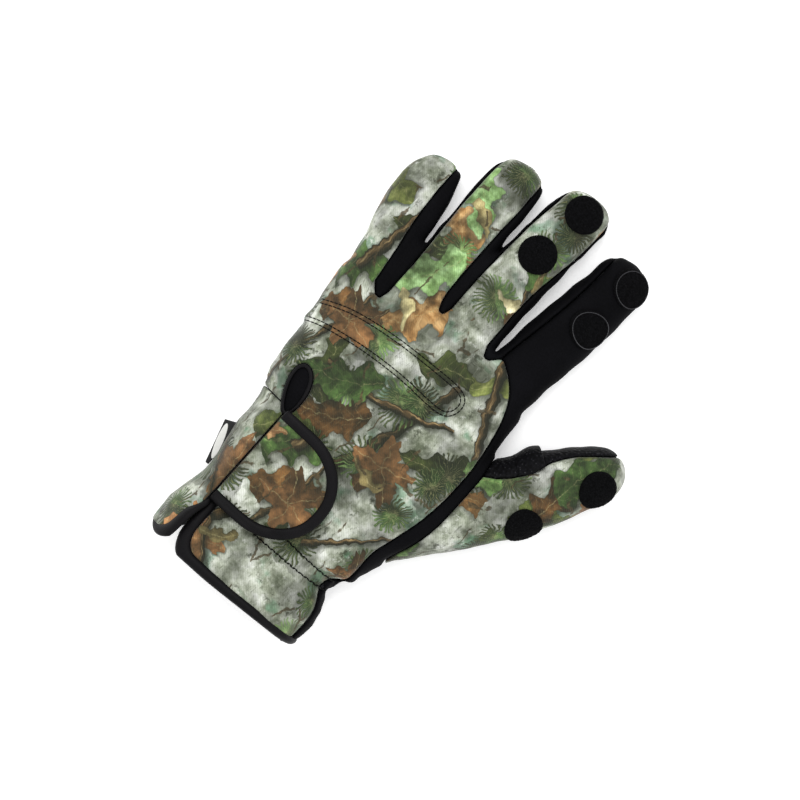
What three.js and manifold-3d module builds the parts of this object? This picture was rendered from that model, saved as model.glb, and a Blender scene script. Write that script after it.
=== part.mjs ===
// A left-hand neoprene fishing glove lying palm down, with fold-back fingertips and a wrist strap.
// Millimetres. +Y runs from the cuff to the fingertips, +X to the thumb side, +Z up from the table.

import * as THREE from "three";
import { mergeVertices } from "three/addons/utils/BufferGeometryUtils.js";
import Module from "manifold-3d";

const wasm = await Module();
wasm.setup();

// Driving sizes of the hand
const cuffToKnuckle = 135;
const palmWidth = 112;
const palmHeight = 34;
const wall = 2.5;
const seamGap = 0.3;
const sideSeamHeight = 7;

// Driving sizes of each finger, measured from the knuckle line to the tip
const fingerLength = { little: 90.8, ring: 114.2, middle: 123.7, index: 112.7 };
const fingerWidth = { little: 28, ring: 29, middle: 30, index: 31.6 };
const fingerHeight = { little: 19.5, ring: 21, middle: 21.5, index: 21 };

// Driving sizes of the thumb, measured from its root inside the palm
const thumbLength = 129;
const thumbWidth = 38.4;
const thumbHeight = 27;
const thumbSplay = THREE.MathUtils.degToRad(36.9);
const thumbFoldAt = 91;

// The three webs between the fingers
const webWidth = 18;
const webHeight = 18;

// The wrist strap
const strapLift = 2.2;
const strapThickness = 2.5;
const tabLength = 46.5;
const tabStraight = 16;
const tabWidth = 55;
const tabBindingWidth = 5.5;
const tapeProud = 0.6;
const fastenerMargin = 9;

// Edge tape of the cuff
const cuffTapeWidth = 5.5;
const cuffTapeProud = 1;

// The drop-shaped vent
const ventLength = 21;
const ventWidth = 10;
const ventTapeWidth = 2;
const ventTapeProud = 0.7;
const ventRecess = 0.8;

// Hook-and-loop dots, the raised hem of the thumb opening, and the tag
const dotDiameter = 19;
const dotThickness = 2;
const hemThickness = 2.5;
const hemWidth = 14;
const tagLength = 24;
const tagReach = 6.4;
const tagThickness = 1.2;

// How finely the soft forms are drawn
const palmSides = 24;
const fingerSides = 16;
const tipAngles = [32, 58, 79].map(THREE.MathUtils.degToRad);
const dotSides = 16;
const tall = 3 * palmHeight;

const table = (columns, rows) =>
  rows.map((row) => Object.fromEntries(columns.map((name, i) => [name, row[i]])));

// Palm and cuff. along: share of cuffToKnuckle. left, right: share of half the palm width.
// rise: share of palmHeight. The narrow rows near a quarter of the way are the elastic's gathers.
const palmRows = table(["along", "left", "right", "rise"], [
  [0.0, -0.83, 0.735, 1.02],
  [0.13, -0.861, 0.786, 1.04],
  [0.211, -0.848, 0.736, 0.99],
  [0.25, -0.838, 0.657, 0.92],
  [0.268, -0.826, 0.712, 0.95],
  [0.288, -0.815, 0.67, 0.92],
  [0.33, -0.821, 0.79, 0.98],
  [0.478, -0.85, 0.885, 1.0],
  [0.611, -0.857, 0.973, 1.03],
  [0.7, -0.952, 1.005, 1.04],
  [0.804, -0.986, 1.007, 1.02],
  [0.959, -1.0, 0.973, 0.96],
  [1.07, -1.036, 0.929, 0.82],
  [1.148, -1.045, 0.89, 0.56],
]);

// Fingers. along: share of the finger's length. shift: share of its lean. half, rise: share of half
// its width and of its height. left, right: where its two back seams run, as a share of half.
const fingerColumns = ["along", "shift", "half", "rise", "left", "right"];
const fingers = {
  little: {
    base: -0.4286,
    lean: -0.075,
    tipShift: 0.88,
    rows: table(fingerColumns, [
      [0.0, 0.1, 0.52, 1.0, -1.5, 0.7],
      [0.28, 0.18, 0.804, 1.0, -1.5, 0.48],
      [0.39, 0.29, 0.854, 1.0, -1.5, 0.4],
      [0.5, 0.52, 0.954, 0.99, -1.5, 0.35],
      [0.58, 0.66, 1.0, 0.97, -1.5, 0.3],
      [0.77, 0.99, 0.996, 0.92, -1.5, 0.305],
    ]),
  },
  ring: {
    base: -0.2134,
    lean: -0.01,
    tipShift: 0.1,
    rows: table(fingerColumns, [
      [0.0, 0.0, 0.883, 1.0, -0.88, 0.88],
      [0.29, 0.05, 0.907, 1.0, -0.88, 0.83],
      [0.4, 0.05, 0.907, 1.0, -0.88, 0.7],
      [0.54, 0.55, 0.972, 1.0, -0.83, 0.66],
      [0.7, 0.55, 1.0, 0.97, -0.86, 0.635],
      [0.86, 1.0, 0.95, 0.9, -0.855, 0.72],
    ]),
  },
  middle: {
    base: 0.0482,
    lean: 0.0275,
    tipShift: 1.1,
    rows: table(fingerColumns, [
      [0.0, 0.0, 0.947, 1.0, -0.9, 0.8],
      [0.3, 0.06, 1.007, 1.0, -0.895, 0.725],
      [0.5, -0.12, 0.967, 1.0, -0.856, 0.71],
      [0.64, -0.01, 0.99, 0.98, -0.8, 0.79],
      [0.77, 0.18, 0.973, 0.95, -0.8, 0.93],
      [0.89, 0.91, 0.913, 0.88, -0.86, 0.91],
    ]),
  },
  index: {
    base: 0.325,
    lean: 0.0674,
    tipShift: 0.95,
    rows: table(fingerColumns, [
      [0.0, -0.12, 0.886, 1.0, -0.8, 1.5],
      [0.26, 0.03, 0.911, 1.0, -0.76, 1.5],
      [0.35, 0.07, 0.968, 1.0, -0.71, 1.5],
      [0.53, 0.39, 0.987, 0.99, -0.615, 1.5],
      [0.71, 0.74, 0.937, 0.96, -0.615, 1.5],
      [0.86, 0.97, 0.88, 0.9, -0.7, 1.5],
    ]),
  },
};

// Webs between fingers. across: share of palmWidth. reach: share of cuffToKnuckle.
const webs = {
  little_ring: { across: -0.339, reach: 1.176 },
  ring_middle: { across: -0.093, reach: 1.284 },
  middle_index: { across: 0.179, reach: 1.269 },
};

// Thumb, in its own splayed frame. shift: share of thumbWidth. seam: where the black side begins.
const thumbRoot = { across: 0.269, along: 0.494 };
const thumbTipShift = -0.14;
const thumbRows = table(["along", "shift", "half", "rise", "seam"], [
  [0.0, 0.04, 0.73, 0.9, -0.95],
  [0.155, 0.015, 0.94, 0.97, -0.95],
  [0.349, 0.0, 1.0, 1.0, -0.85],
  [0.465, 0.0, 1.0, 1.0, -0.72],
  [0.55, 0.0, 0.99, 1.0, -0.53],
  [0.659, -0.045, 0.99, 0.97, -0.46],
  [0.744, -0.047, 0.88, 0.93, -0.73],
  [0.845, -0.077, 0.805, 0.87, -0.7],
  [0.9, -0.085, 0.71, 0.82, -0.7],
]);

// Seam from the index finger down the back, beside the thumb, to the cuff.
// along: share of cuffToKnuckle. across: share of half the palm width.
const backSeam = table(["along", "across"], [
  [1.267, 0.493],
  [1.23, 0.625],
  [1.19, 0.718],
  [1.145, 0.78],
  [1.073, 0.839],
  [0.934, 0.895],
  [0.81, 0.902],
  [0.672, 0.873],
  [0.556, 0.8],
  [0.457, 0.729],
  [0.364, 0.746],
  [0.321, 0.723],
  [0.292, 0.6],
  [0.244, 0.6],
  [0.2, 0.68],
  [0.13, 0.72],
  [-0.1, 0.68],
]);

// Line where the thumb is sewn on, from the crotch down to the side of the wrist.
const thumbSeam = table(["along", "across"], [
  [1.3, 1.2],
  [1.08, 1.05],
  [0.985, 0.98],
  [0.923, 1.002],
  [0.874, 1.005],
  [0.713, 1.005],
  [0.639, 0.988],
  [0.564, 0.946],
  [0.49, 0.875],
  [0.455, 0.865],
  [0.4, 0.99],
]);

// Where each dot lies: along its finger, across it as a share of half its width, and its tilt.
const dots = table(["finger", "end", "along", "across", "tilt"], [
  ["middle", "base", 0.677, 0.01, 0],
  ["middle", "tip", 0.912, 0.05, 0],
  ["index", "base", 0.655, 0.5, 34],
  ["index", "tip", 0.903, 0.38, 30],
]);
const thumbDots = table(["end", "along", "across", "tilt"], [
  ["base", 0.584, 0.7, 42],
  ["tip", 0.889, 0.36, 24],
]);

// Places on the cuff, as shares of cuffToKnuckle and of half the palm width
const slit = { across: -0.593, top: 0.643, tapeEnd: 0.22, corner: 0.1, toe: 0.03 };
const tabPlace = { across: -0.58, along: 0.437 };
const ventPlace = { across: -0.645, along: 0.63 };
const tagPlace = { across: -0.84, along: 0.388 };

// Height of a soft tube's widest line, and how square its top and its flattened underside are
const waistShare = 0.4;
const topSquare = 2.3;
const underSquare = 4;
const flattening = 1.12;

// How square the sides are, above and below the widest line
const palmSquare = { above: 3.2, below: 6 };
const digitSquare = { above: 2.5, below: 3.2 };

// One cross-section of a soft tube lying on a table. side, top and under move its faces outwards.
// fill shrinks it about its middle, for the rings that close a fingertip.
function sectionRing({ left, right, y, height, sides, square, fill = 1, side = 0, top = 0, under = 0 }) {
  const middle = (left + right) / 2;
  const half = (right - left) / 2 + side;
  const waist = waistShare * height;
  const rise = height + top - waist;
  const drop = Math.min(waist, waist + under);
  const ring = [];
  for (let i = 0; i < sides; i += 1) {
    const angle = (2 * Math.PI * i) / sides;
    const squareness = Math.sin(angle) > 0 ? square.above : square.below;
    const across = Math.sign(Math.cos(angle)) * Math.abs(Math.cos(angle)) ** (2 / squareness);
    const lift = Math.abs(Math.sin(angle));
    const up = rise * lift ** (2 / topSquare);
    const down = Math.min(1, flattening * lift ** (2 / underSquare)) * drop;
    const z = Math.sin(angle) > 0 ? up : -down;
    ring.push([middle + fill * half * across, y, waist + fill * z]);
  }
  return ring;
}

// A closed solid through a list of rings with the same number of points
function loft(rings) {
  const sides = rings[0].length;
  const middleOf = (ring) => [0, 1, 2].map((k) => ring.reduce((sum, p) => sum + p[k], 0) / sides);
  const points = rings.flat().concat([middleOf(rings[0]), middleOf(rings.at(-1))]);
  const firstCentre = points.length - 2;
  const lastCentre = points.length - 1;
  const faces = [];
  for (let i = 0; i < sides; i += 1) {
    const next = (i + 1) % sides;
    for (let r = 0; r + 1 < rings.length; r += 1) {
      const near = r * sides;
      const far = near + sides;
      faces.push(near + i, far + next, near + next);
      faces.push(near + i, far + i, far + next);
    }
    const last = (rings.length - 1) * sides;
    faces.push(firstCentre, i, next);
    faces.push(lastCentre, last + next, last + i);
  }
  const geometry = new THREE.BufferGeometry();
  geometry.setAttribute("position", new THREE.Float32BufferAttribute(points.flat(), 3));
  geometry.setIndex(faces);
  return geometry;
}

function toSolid(geometry) {
  const bare = geometry.clone();
  bare.deleteAttribute("normal");
  bare.deleteAttribute("uv");
  const merged = mergeVertices(bare, 1e-4);
  return new wasm.Manifold(new wasm.Mesh({
    numProp: 3,
    vertProperties: new Float32Array(merged.getAttribute("position").array),
    triVerts: new Uint32Array(merged.getIndex().array),
  }));
}

function toGeometry(solid) {
  const mesh = solid.getMesh();
  const geometry = new THREE.BufferGeometry();
  geometry.setAttribute("position", new THREE.BufferAttribute(new Float32Array(mesh.vertProperties), 3));
  geometry.setIndex(new THREE.BufferAttribute(new Uint32Array(mesh.triVerts), 1));
  geometry.computeVertexNormals();
  return geometry;
}

const join = (solids) => solids.reduce((whole, solid) => whole.add(solid));

// Where a seam runs close to the side of a tube, a cut can leave specks beside the main body
const mainBody = (solid) =>
  solid.decompose().reduce((best, part) => (part.volume() > best.volume() ? part : best));
const cutAll = (solid, cutters) => cutters.reduce((rest, cutter) => rest.subtract(cutter), solid);

// The palm's own places: across is a share of half the palm width, along of cuffToKnuckle
const palmX = (across) => (across * palmWidth) / 2;
const palmY = (along) => along * cuffToKnuckle;

function palmSolid(grow) {
  const rings = palmRows.map((row, i) => sectionRing({
    left: palmX(row.left),
    right: palmX(row.right),
    y: palmY(row.along) + (i === 0 ? -(grow.mouth ?? 0) : 0) + (i + 1 === palmRows.length ? grow.side : 0),
    height: palmHeight * row.rise,
    sides: palmSides,
    square: palmSquare,
    ...grow,
  }));
  return toSolid(loft(rings));
}

// A tube with a rounded end, for a finger, a web or the thumb
function digitRings({ rows, length, width, height, xOf, tipX, grow }) {
  const body = rows.map((row) => ({ ...row, y: row.along * length, x: xOf(row) }));
  const last = body.at(-1);
  const dome = tipAngles.map((angle) => ({
    ...last,
    y: last.y + (length + grow.side - last.y) * Math.sin(angle),
    x: THREE.MathUtils.lerp(last.x, tipX, Math.sin(angle)),
    fill: Math.cos(angle),
  }));
  return body.concat(dome).map((row) => sectionRing({
    left: row.x - (row.half * width) / 2,
    right: row.x + (row.half * width) / 2,
    y: row.y,
    height: row.rise * height,
    sides: fingerSides,
    square: digitSquare,
    fill: row.fill ?? 1,
    ...grow,
  }));
}

const fingerX = (name, shift) =>
  fingers[name].base * palmWidth + fingers[name].lean * fingerLength[name] * shift;

function fingerSolid(name, grow) {
  const finger = fingers[name];
  const rings = digitRings({
    rows: finger.rows,
    length: fingerLength[name],
    width: fingerWidth[name],
    height: fingerHeight[name],
    xOf: (row) => fingerX(name, row.shift),
    tipX: fingerX(name, finger.tipShift),
    grow,
  });
  return toSolid(loft(rings).translate(0, cuffToKnuckle, 0));
}

function webSolid({ across, reach }, grow) {
  const start = palmY(1);
  const length = palmY(reach) - start;
  const rings = digitRings({
    rows: [{ along: 0, half: 1, rise: 1 }, { along: 0.9, half: 1, rise: 1 }],
    length,
    width: webWidth,
    height: webHeight,
    xOf: () => across * palmWidth,
    tipX: across * palmWidth,
    grow,
  });
  return toSolid(loft(rings).translate(0, start, 0));
}

const inThumb = (geometry) =>
  geometry.rotateZ(-thumbSplay).translate(thumbRoot.across * palmWidth, palmY(thumbRoot.along), 0);

function thumbSolid(grow) {
  return toSolid(inThumb(loft(digitRings({
    rows: thumbRows,
    length: thumbLength,
    width: thumbWidth,
    height: thumbHeight,
    xOf: (row) => row.shift * thumbWidth,
    tipX: thumbTipShift * thumbWidth,
    grow,
  }))));
}

// The whole hand at one distance from the glove's outer face
function handSolid(grow) {
  return join([
    palmSolid(grow),
    ...Object.keys(fingers).map((name) => fingerSolid(name, grow)),
    ...Object.values(webs).map((web) => webSolid(web, grow)),
    thumbSolid(grow),
  ]);
}

const outward = (distance) => ({ side: distance, top: distance, under: distance });

// Upright prisms over outlines seen from above
function prism(outline, low, high, hole = null) {
  const shape = new THREE.Shape(outline.map(([x, y]) => new THREE.Vector2(x, y)));
  if (hole) shape.holes.push(new THREE.Path(hole.map(([x, y]) => new THREE.Vector2(x, y))));
  const geometry = new THREE.ExtrudeGeometry(shape, { depth: high - low, bevelEnabled: false, steps: 1 });
  return geometry.translate(0, 0, low);
}

// The same outline moved outwards all round
function spread(outline, distance) {
  const turn = Math.sign(THREE.ShapeUtils.area(outline.map(([x, y]) => new THREE.Vector2(x, y))));
  return outline.map((point, i) => {
    const before = outline.at(i - 1);
    const after = outline[(i + 1) % outline.length];
    const edgeIn = new THREE.Vector2(point[0] - before[0], point[1] - before[1]).normalize();
    const edgeOut = new THREE.Vector2(after[0] - point[0], after[1] - point[1]).normalize();
    const normal = new THREE.Vector2(edgeIn.y + edgeOut.y, -edgeIn.x - edgeOut.x).normalize();
    const stretch = Math.min(2, 1 / Math.max(0.1, normal.x * edgeOut.y - normal.y * edgeOut.x));
    return [point[0] + turn * distance * stretch * normal.x, point[1] + turn * distance * stretch * normal.y];
  });
}

const above = sideSeamHeight + seamGap / 2;
const below = sideSeamHeight - seamGap / 2;
const region = (outline, low = above, high = tall) => toSolid(prism(outline, low, high));
const clearOf = (outline) => region(spread(outline, seamGap), -tall, tall);

// The part of a line that runs upwards past a height, starting exactly there
function lineFrom(line, from) {
  const next = line.findIndex(([, y]) => y > from);
  const [low, high] = [line[next - 1], line[next]];
  const share = (from - low[1]) / (high[1] - low[1]);
  return [[THREE.MathUtils.lerp(low[0], high[0], share), from], ...line.slice(next)];
}

// Seam line of a finger, from a height near the web to past the tip
function fingerSeam(name, edge, from) {
  const finger = fingers[name];
  const line = finger.rows.map((row) => [
    fingerX(name, row.shift) + (row[edge] * row.half * fingerWidth[name]) / 2,
    cuffToKnuckle + row.along * fingerLength[name],
  ]);
  const [x] = line.at(-1);
  const past = cuffToKnuckle + fingerLength[name] + fingerWidth[name] / 2;
  return lineFrom([...line, [THREE.MathUtils.lerp(x, fingerX(name, finger.tipShift), 0.1), past]], from);
}

function fourchetteOutline(web, leftFinger, rightFinger) {
  const reach = palmY(web.reach);
  const leftLine = fingerSeam(leftFinger, "right", reach);
  const rightLine = fingerSeam(rightFinger, "left", reach);
  const middle = web.across * palmWidth;
  return [[middle - wall / 2, reach - 2 * wall], [middle + wall / 2, reach - 2 * wall], ...rightLine,
    ...leftLine.reverse()];
}

const seamPoints = (rows) => rows.map(({ along, across }) => [palmX(across), palmY(along)]);
const farRight = 1.25 * palmWidth;
const farBelow = -0.1 * cuffToKnuckle;
const farAbove = cuffToKnuckle + 1.3 * fingerLength.middle;

const fourchettes = {
  fourchette_little_ring: fourchetteOutline(webs.little_ring, "little", "ring"),
  fourchette_ring_middle: fourchetteOutline(webs.ring_middle, "ring", "middle"),
  fourchette_middle_index: fourchetteOutline(webs.middle_index, "middle", "index"),
};
const indexSeam = fingerSeam("index", "left", palmY(webs.middle_index.reach));
const indexOutline = [
  ...seamPoints(backSeam).reverse(),
  ...indexSeam,
  [palmX(1.2), farAbove],
  ...seamPoints(thumbSeam),
  [palmX(1.1), farBelow],
];
const thumbOutline = [
  ...seamPoints(thumbSeam),
  [farRight, palmY(thumbSeam.at(-1).along)],
  [farRight, farAbove],
  [palmX(1.2), farAbove],
];

// The thumb's black inner side, in the thumb's frame
function thumbSideOutline(from, to) {
  const line = thumbRows.map((row) => [
    row.shift * thumbWidth + (row.seam * row.half * thumbWidth) / 2,
    row.along * thumbLength,
  ]);
  const inside = line.filter(([, y]) => y > from && y < to);
  const edge = (y) => {
    const i = Math.max(1, line.findIndex((point) => point[1] >= y));
    const [a, b] = y > line.at(-1)[1] ? [line.at(-1), line.at(-1)] : [line[i - 1], line[i]];
    const share = a === b ? 0 : (y - a[1]) / (b[1] - a[1]);
    return [THREE.MathUtils.lerp(a[0], b[0], share), y];
  };
  return [[-thumbWidth, from], edge(from), ...inside, edge(to), [-thumbWidth, to]];
}
const thumbRegion = (outline, low, high) => toSolid(inThumb(prism(outline, low, high)));

// The D-shaped tab: a straight root and a rounded end
const tabSquareness = 2.1;
const tabSides = 16;
function tabOutline(margin, root = 0) {
  const half = tabWidth / 2 - margin;
  const left = palmX(tabPlace.across) + root;
  const start = palmX(tabPlace.across) + tabStraight;
  const middle = palmY(tabPlace.along);
  const reach = tabLength - tabStraight - margin;
  const end = [];
  for (let i = 0; i <= tabSides; i += 1) {
    const angle = -Math.PI / 2 + (Math.PI * i) / tabSides;
    const x = start + reach * Math.abs(Math.cos(angle)) ** (2 / tabSquareness);
    const rise = Math.abs(Math.sin(angle)) ** (2 / tabSquareness);
    const y = middle + half * Math.sign(Math.sin(angle)) * rise;
    end.push([x, y]);
  }
  return [[left, middle - half], ...end, [left, middle + half]];
}

// The drop-shaped vent: narrow below, round above, leaning a little
const ventSides = 14;
const ventLean = 6;
const ventFootShare = 0.66;
function ventOutline(margin) {
  const x = palmX(ventPlace.across);
  const foot = palmY(ventPlace.along);
  const half = ventWidth / 2 + margin;
  const outline = [];
  for (let i = 0; i < ventSides; i += 1) {
    const angle = (2 * Math.PI * i) / ventSides;
    const up = (1 - Math.cos(angle)) / 2;
    const wide = half * Math.sin(angle) * THREE.MathUtils.lerp(ventFootShare, 1.06, up);
    outline.push([x + wide + ventLean * (0.5 - up), foot - margin + (ventLength + 2 * margin) * up]);
  }
  return outline;
}

// Cuff outlines: the strap side of the slit, and the tapes
const slitX = palmX(slit.across);
const farLeft = -palmX(1.4);
const strapFootSetback = 8.5;
const strapFoot = [slitX - strapFootSetback, farBelow];
const strapOutline = [
  [farLeft, palmY(slit.top)],
  [slitX, palmY(slit.top)],
  [slitX, palmY(slit.corner)],
  [slitX - wall, palmY(slit.toe)],
  strapFoot,
  [farLeft, farBelow],
];
const strapTapeOutline = [
  [slitX - cuffTapeWidth, palmY(slit.tapeEnd)],
  [slitX, palmY(slit.tapeEnd)],
  [slitX, palmY(slit.corner)],
  [slitX - wall, palmY(slit.toe)],
  strapFoot,
  [farLeft, farBelow],
  [farLeft, cuffTapeWidth],
  [slitX - cuffTapeWidth - 2 * wall, cuffTapeWidth],
  [slitX - cuffTapeWidth - wall, palmY(slit.corner)],
];
const slitTapeX = slitX + seamGap;
const cuffTapeOutline = [
  [slitTapeX, palmY(slit.tapeEnd)],
  [slitTapeX, palmY(slit.corner)],
  [slitTapeX + 2 * wall, farBelow],
  [farRight, farBelow],
  [farRight, cuffTapeWidth],
  [slitTapeX + cuffTapeWidth + wall, cuffTapeWidth],
  [slitTapeX + cuffTapeWidth, palmY(0.08)],
  [slitTapeX + cuffTapeWidth, palmY(slit.tapeEnd)],
];
const slitSideOutline = [
  [farLeft, farBelow],
  [slitTapeX + cuffTapeWidth, farBelow],
  [slitTapeX + cuffTapeWidth, palmY(slit.tapeEnd)],
  [farLeft, palmY(slit.tapeEnd)],
];
const underTapeOutline = [
  [farLeft, farBelow],
  [farRight, farBelow],
  [farRight, cuffTapeWidth],
  [farLeft, cuffTapeWidth],
];

// The hollow glove, and the same wall lifted over the slit for the strap
const outside = handSolid(outward(0));
const inside = handSolid({ ...outward(-wall), mouth: wall });
const shell = outside.subtract(inside);
const everywhere = [[farLeft, farBelow], [farRight, farBelow], [farRight, farAbove], [farLeft, farAbove]];
const upper = shell.intersect(region(everywhere));
const lower = shell.intersect(region(everywhere, -tall, below));

const lifted = (top, side) => palmSolid({ side, top, under: 0, mouth: wall });
const strapTop = strapLift + strapThickness;
const strapLayer = lifted(strapTop, 0.1).subtract(lifted(strapLift, -strapThickness));
const tapeLayer = lifted(strapTop + tapeProud, tapeProud).subtract(lifted(strapLift, -strapThickness));
const tabLayer = lifted(strapTop, 0.1).subtract(lifted(strapLift, 0));
const tabTapeLayer = lifted(strapTop + tapeProud, 0.1).subtract(lifted(strapLift, 0));
const fastenerLayer = lifted(strapLift - seamGap, 0).subtract(lifted(seamGap, 0));
const cuffTapeLayer = palmSolid(outward(cuffTapeProud)).subtract(
  palmSolid({ ...outward(-wall - cuffTapeProud), mouth: wall }),
);

function backPanel() {
  return cutAll(upper, [
    ...Object.values(fourchettes).map(clearOf),
    clearOf(indexOutline),
    clearOf(thumbOutline),
    clearOf(strapOutline),
    clearOf(slitSideOutline),
    clearOf(cuffTapeOutline),
    clearOf(ventOutline(ventTapeWidth)),
  ]);
}

function fourchette(name) {
  return cutAll(upper.intersect(region(fourchettes[name])), [clearOf(indexOutline)]);
}

function indexPanel() {
  return cutAll(upper.intersect(region(indexOutline)), [clearOf(thumbOutline), clearOf(cuffTapeOutline)]);
}

const tipSplit = {
  middle: cuffToKnuckle + 0.77 * fingerLength.middle,
  index: cuffToKnuckle + 0.76 * fingerLength.index,
};

// The palm side of a fold-back fingertip, beyond its opening
function tipOutline(name, from) {
  const middle = fingerX(name, 0.9);
  const half = fingerWidth[name] / 2 + wall;
  return [[middle - half, from], [middle + half, from], [middle + half, farAbove], [middle - half, farAbove]];
}

const tipGrip = (name) => lower.intersect(region(tipOutline(name, tipSplit[name]), -tall, below));

function palmPanel() {
  return cutAll(lower, [
    clearOf(thumbOutline),
    clearOf(underTapeOutline),
    clearOf(tipOutline("middle", tipSplit.middle)),
    clearOf(tipOutline("index", tipSplit.index)),
  ]);
}

const thumbArea = shell.intersect(region(thumbOutline, -tall, tall));
const beyondFold = (from) => [[-thumbWidth, from], [thumbWidth, from], [thumbWidth, 2 * thumbLength],
  [-thumbWidth, 2 * thumbLength]];
const sideSolid = (margin) => {
  const outline = thumbSideOutline(-thumbLength, 2 * thumbLength);
  return thumbRegion(margin ? spread(outline, margin) : outline, -tall, tall);
};
const underSolid = (height) => region(everywhere, -tall, height);

function thumbShell() {
  return cutAll(thumbArea, [sideSolid(seamGap), underSolid(above)]);
}

const thumbBlack = thumbArea.intersect(sideSolid(0).add(underSolid(below)));
const thumbGrip = () => thumbBlack.subtract(thumbRegion(beyondFold(thumbFoldAt), -tall, tall));
const thumbTipGrip = () => thumbBlack.intersect(thumbRegion(beyondFold(thumbFoldAt + seamGap), -tall, tall));

// A raised hem on the black side, ending at the fold
function thumbFlap() {
  const layer = thumbSolid(outward(hemThickness + seamGap)).subtract(thumbSolid(outward(seamGap)));
  const band = spread(thumbSideOutline(thumbFoldAt - hemWidth, thumbFoldAt), -seamGap);
  const clearOfIndex = clearOf(indexOutline);
  return layer.intersect(thumbRegion(band, above, tall)).subtract(clearOfIndex);
}

function strapBase() {
  return cutAll(strapLayer.intersect(region(strapOutline)), [clearOf(strapTapeOutline)]);
}

const strapBinding = () => tapeLayer.intersect(region(strapTapeOutline));
const strapTab = () => tabLayer.intersect(region(tabOutline(tabBindingWidth + seamGap)));

function tabBinding() {
  const band = toSolid(prism(tabOutline(0), above, tall)).subtract(
    toSolid(prism(tabOutline(tabBindingWidth, -wall), above - 1, tall + 1)),
  );
  return tabTapeLayer.intersect(band);
}

const tabFastener = () => fastenerLayer.intersect(region(tabOutline(fastenerMargin, fastenerMargin)));

function cuffBinding() {
  const upright = cuffTapeLayer.intersect(region(cuffTapeOutline));
  const under = cuffTapeLayer.intersect(region(underTapeOutline, 0, below));
  const joinPiece = cuffTapeLayer.intersect(region(
    [[palmX(0.2), farBelow], [farRight, farBelow], [farRight, cuffTapeWidth], [palmX(0.2), cuffTapeWidth]],
    below - 1,
    above + 1,
  ));
  return join([upright, under, joinPiece]);
}

function ventGusset() {
  const layer = palmSolid(outward(-ventRecess)).subtract(palmSolid(outward(-wall)));
  return layer.intersect(region(ventOutline(-seamGap))).subtract(clearOf(strapOutline));
}

function ventBinding() {
  const layer = palmSolid(outward(ventTapeProud)).subtract(palmSolid(outward(-wall)));
  const ring = region(ventOutline(ventTapeWidth)).subtract(region(ventOutline(0), -tall, 2 * tall));
  return layer.intersect(ring).subtract(clearOf(strapOutline));
}

// A dot pressed onto a soft digit: a round plug along the dot's own axis, cut to the digit's skin
function dotPlug(x, y, height, tilt) {
  const plug = new THREE.CylinderGeometry(dotDiameter / 2, dotDiameter / 2, height, dotSides);
  plug.rotateX(Math.PI / 2).translate(0, 0, height / 2);
  return plug.rotateY(THREE.MathUtils.degToRad(tilt)).translate(x, y, height / 2);
}

function fingerDot({ finger, along, across, tilt }) {
  const skin = fingerSolid(finger, outward(seamGap + dotThickness)).subtract(
    fingerSolid(finger, outward(seamGap)),
  );
  const row = fingers[finger].rows.findLast((candidate) => candidate.along <= along);
  const middle = fingerX(finger, row.shift);
  const height = fingerHeight[finger];
  const reach = (across * fingerWidth[finger]) / 2 - (height / 2) * Math.tan(THREE.MathUtils.degToRad(tilt));
  const plug = dotPlug(middle + reach, cuffToKnuckle + along * fingerLength[finger], height, tilt);
  return skin.intersect(toSolid(plug)).intersect(region(everywhere));
}

function thumbDot({ along, across, tilt }) {
  const skin = thumbSolid(outward(seamGap + dotThickness)).subtract(thumbSolid(outward(seamGap)));
  const row = thumbRows.findLast((candidate) => candidate.along <= along);
  const reach = row.shift * thumbWidth + (across * thumbWidth) / 2;
  const lean = (thumbHeight / 2) * Math.tan(THREE.MathUtils.degToRad(tilt));
  const plug = inThumb(dotPlug(reach - lean, along * thumbLength, thumbHeight, tilt));
  return skin.intersect(toSolid(plug)).intersect(region(everywhere));
}

// A folded tag that stands out of the side seam
function labelTag() {
  const x = palmX(tagPlace.across);
  const y = palmY(tagPlace.along);
  const low = sideSeamHeight + wall;
  const outline = [
    [x + wall, y - tagLength / 2],
    [x + wall, y + tagLength / 2],
    [x - 0.1 * tagReach, y + tagLength / 2],
    [x - tagReach, y + 0.37 * tagLength],
    [x - 0.55 * tagReach, y - 0.12 * tagLength],
  ];
  return toSolid(prism(outline, low, low + tagThickness)).subtract(palmSolid(outward(seamGap)));
}

const finishes = {
  camouflage: { color: 0x8b8f78, roughness: 0.9, metalness: 0 },
  black: { color: 0x17181a, roughness: 0.92, metalness: 0 },
  tape: { color: 0x1c1b1e, roughness: 0.8, metalness: 0 },
  dot: { color: 0x101011, roughness: 1, metalness: 0 },
};

const pieces = [
  ["back_panel", "camouflage", backPanel()],
  ["palm_panel", "black", palmPanel()],
  ...Object.keys(fourchettes).map((name) => [name, "black", fourchette(name)]),
  ["index_panel", "black", indexPanel()],
  ["middle_tip_grip", "black", tipGrip("middle")],
  ["index_tip_grip", "black", tipGrip("index")],
  ["thumb_shell", "camouflage", thumbShell()],
  ["thumb_grip", "black", thumbGrip()],
  ["thumb_tip_grip", "black", thumbTipGrip()],
  ["thumb_flap", "black", thumbFlap()],
  ["strap_base", "camouflage", strapBase()],
  ["strap_binding", "tape", strapBinding()],
  ["strap_tab", "camouflage", strapTab()],
  ["tab_binding", "tape", tabBinding()],
  ["tab_fastener", "dot", tabFastener()],
  ["cuff_binding", "tape", cuffBinding()],
  ["vent_gusset", "black", ventGusset()],
  ["vent_binding", "tape", ventBinding()],
  ["label_tag", "black", labelTag()],
  ...dots.map((row) => [`dot_${row.finger}_${row.end}`, "dot", fingerDot(row)]),
  ...thumbDots.map((row) => [`dot_thumb_${row.end}`, "dot", thumbDot(row)]),
];

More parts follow.
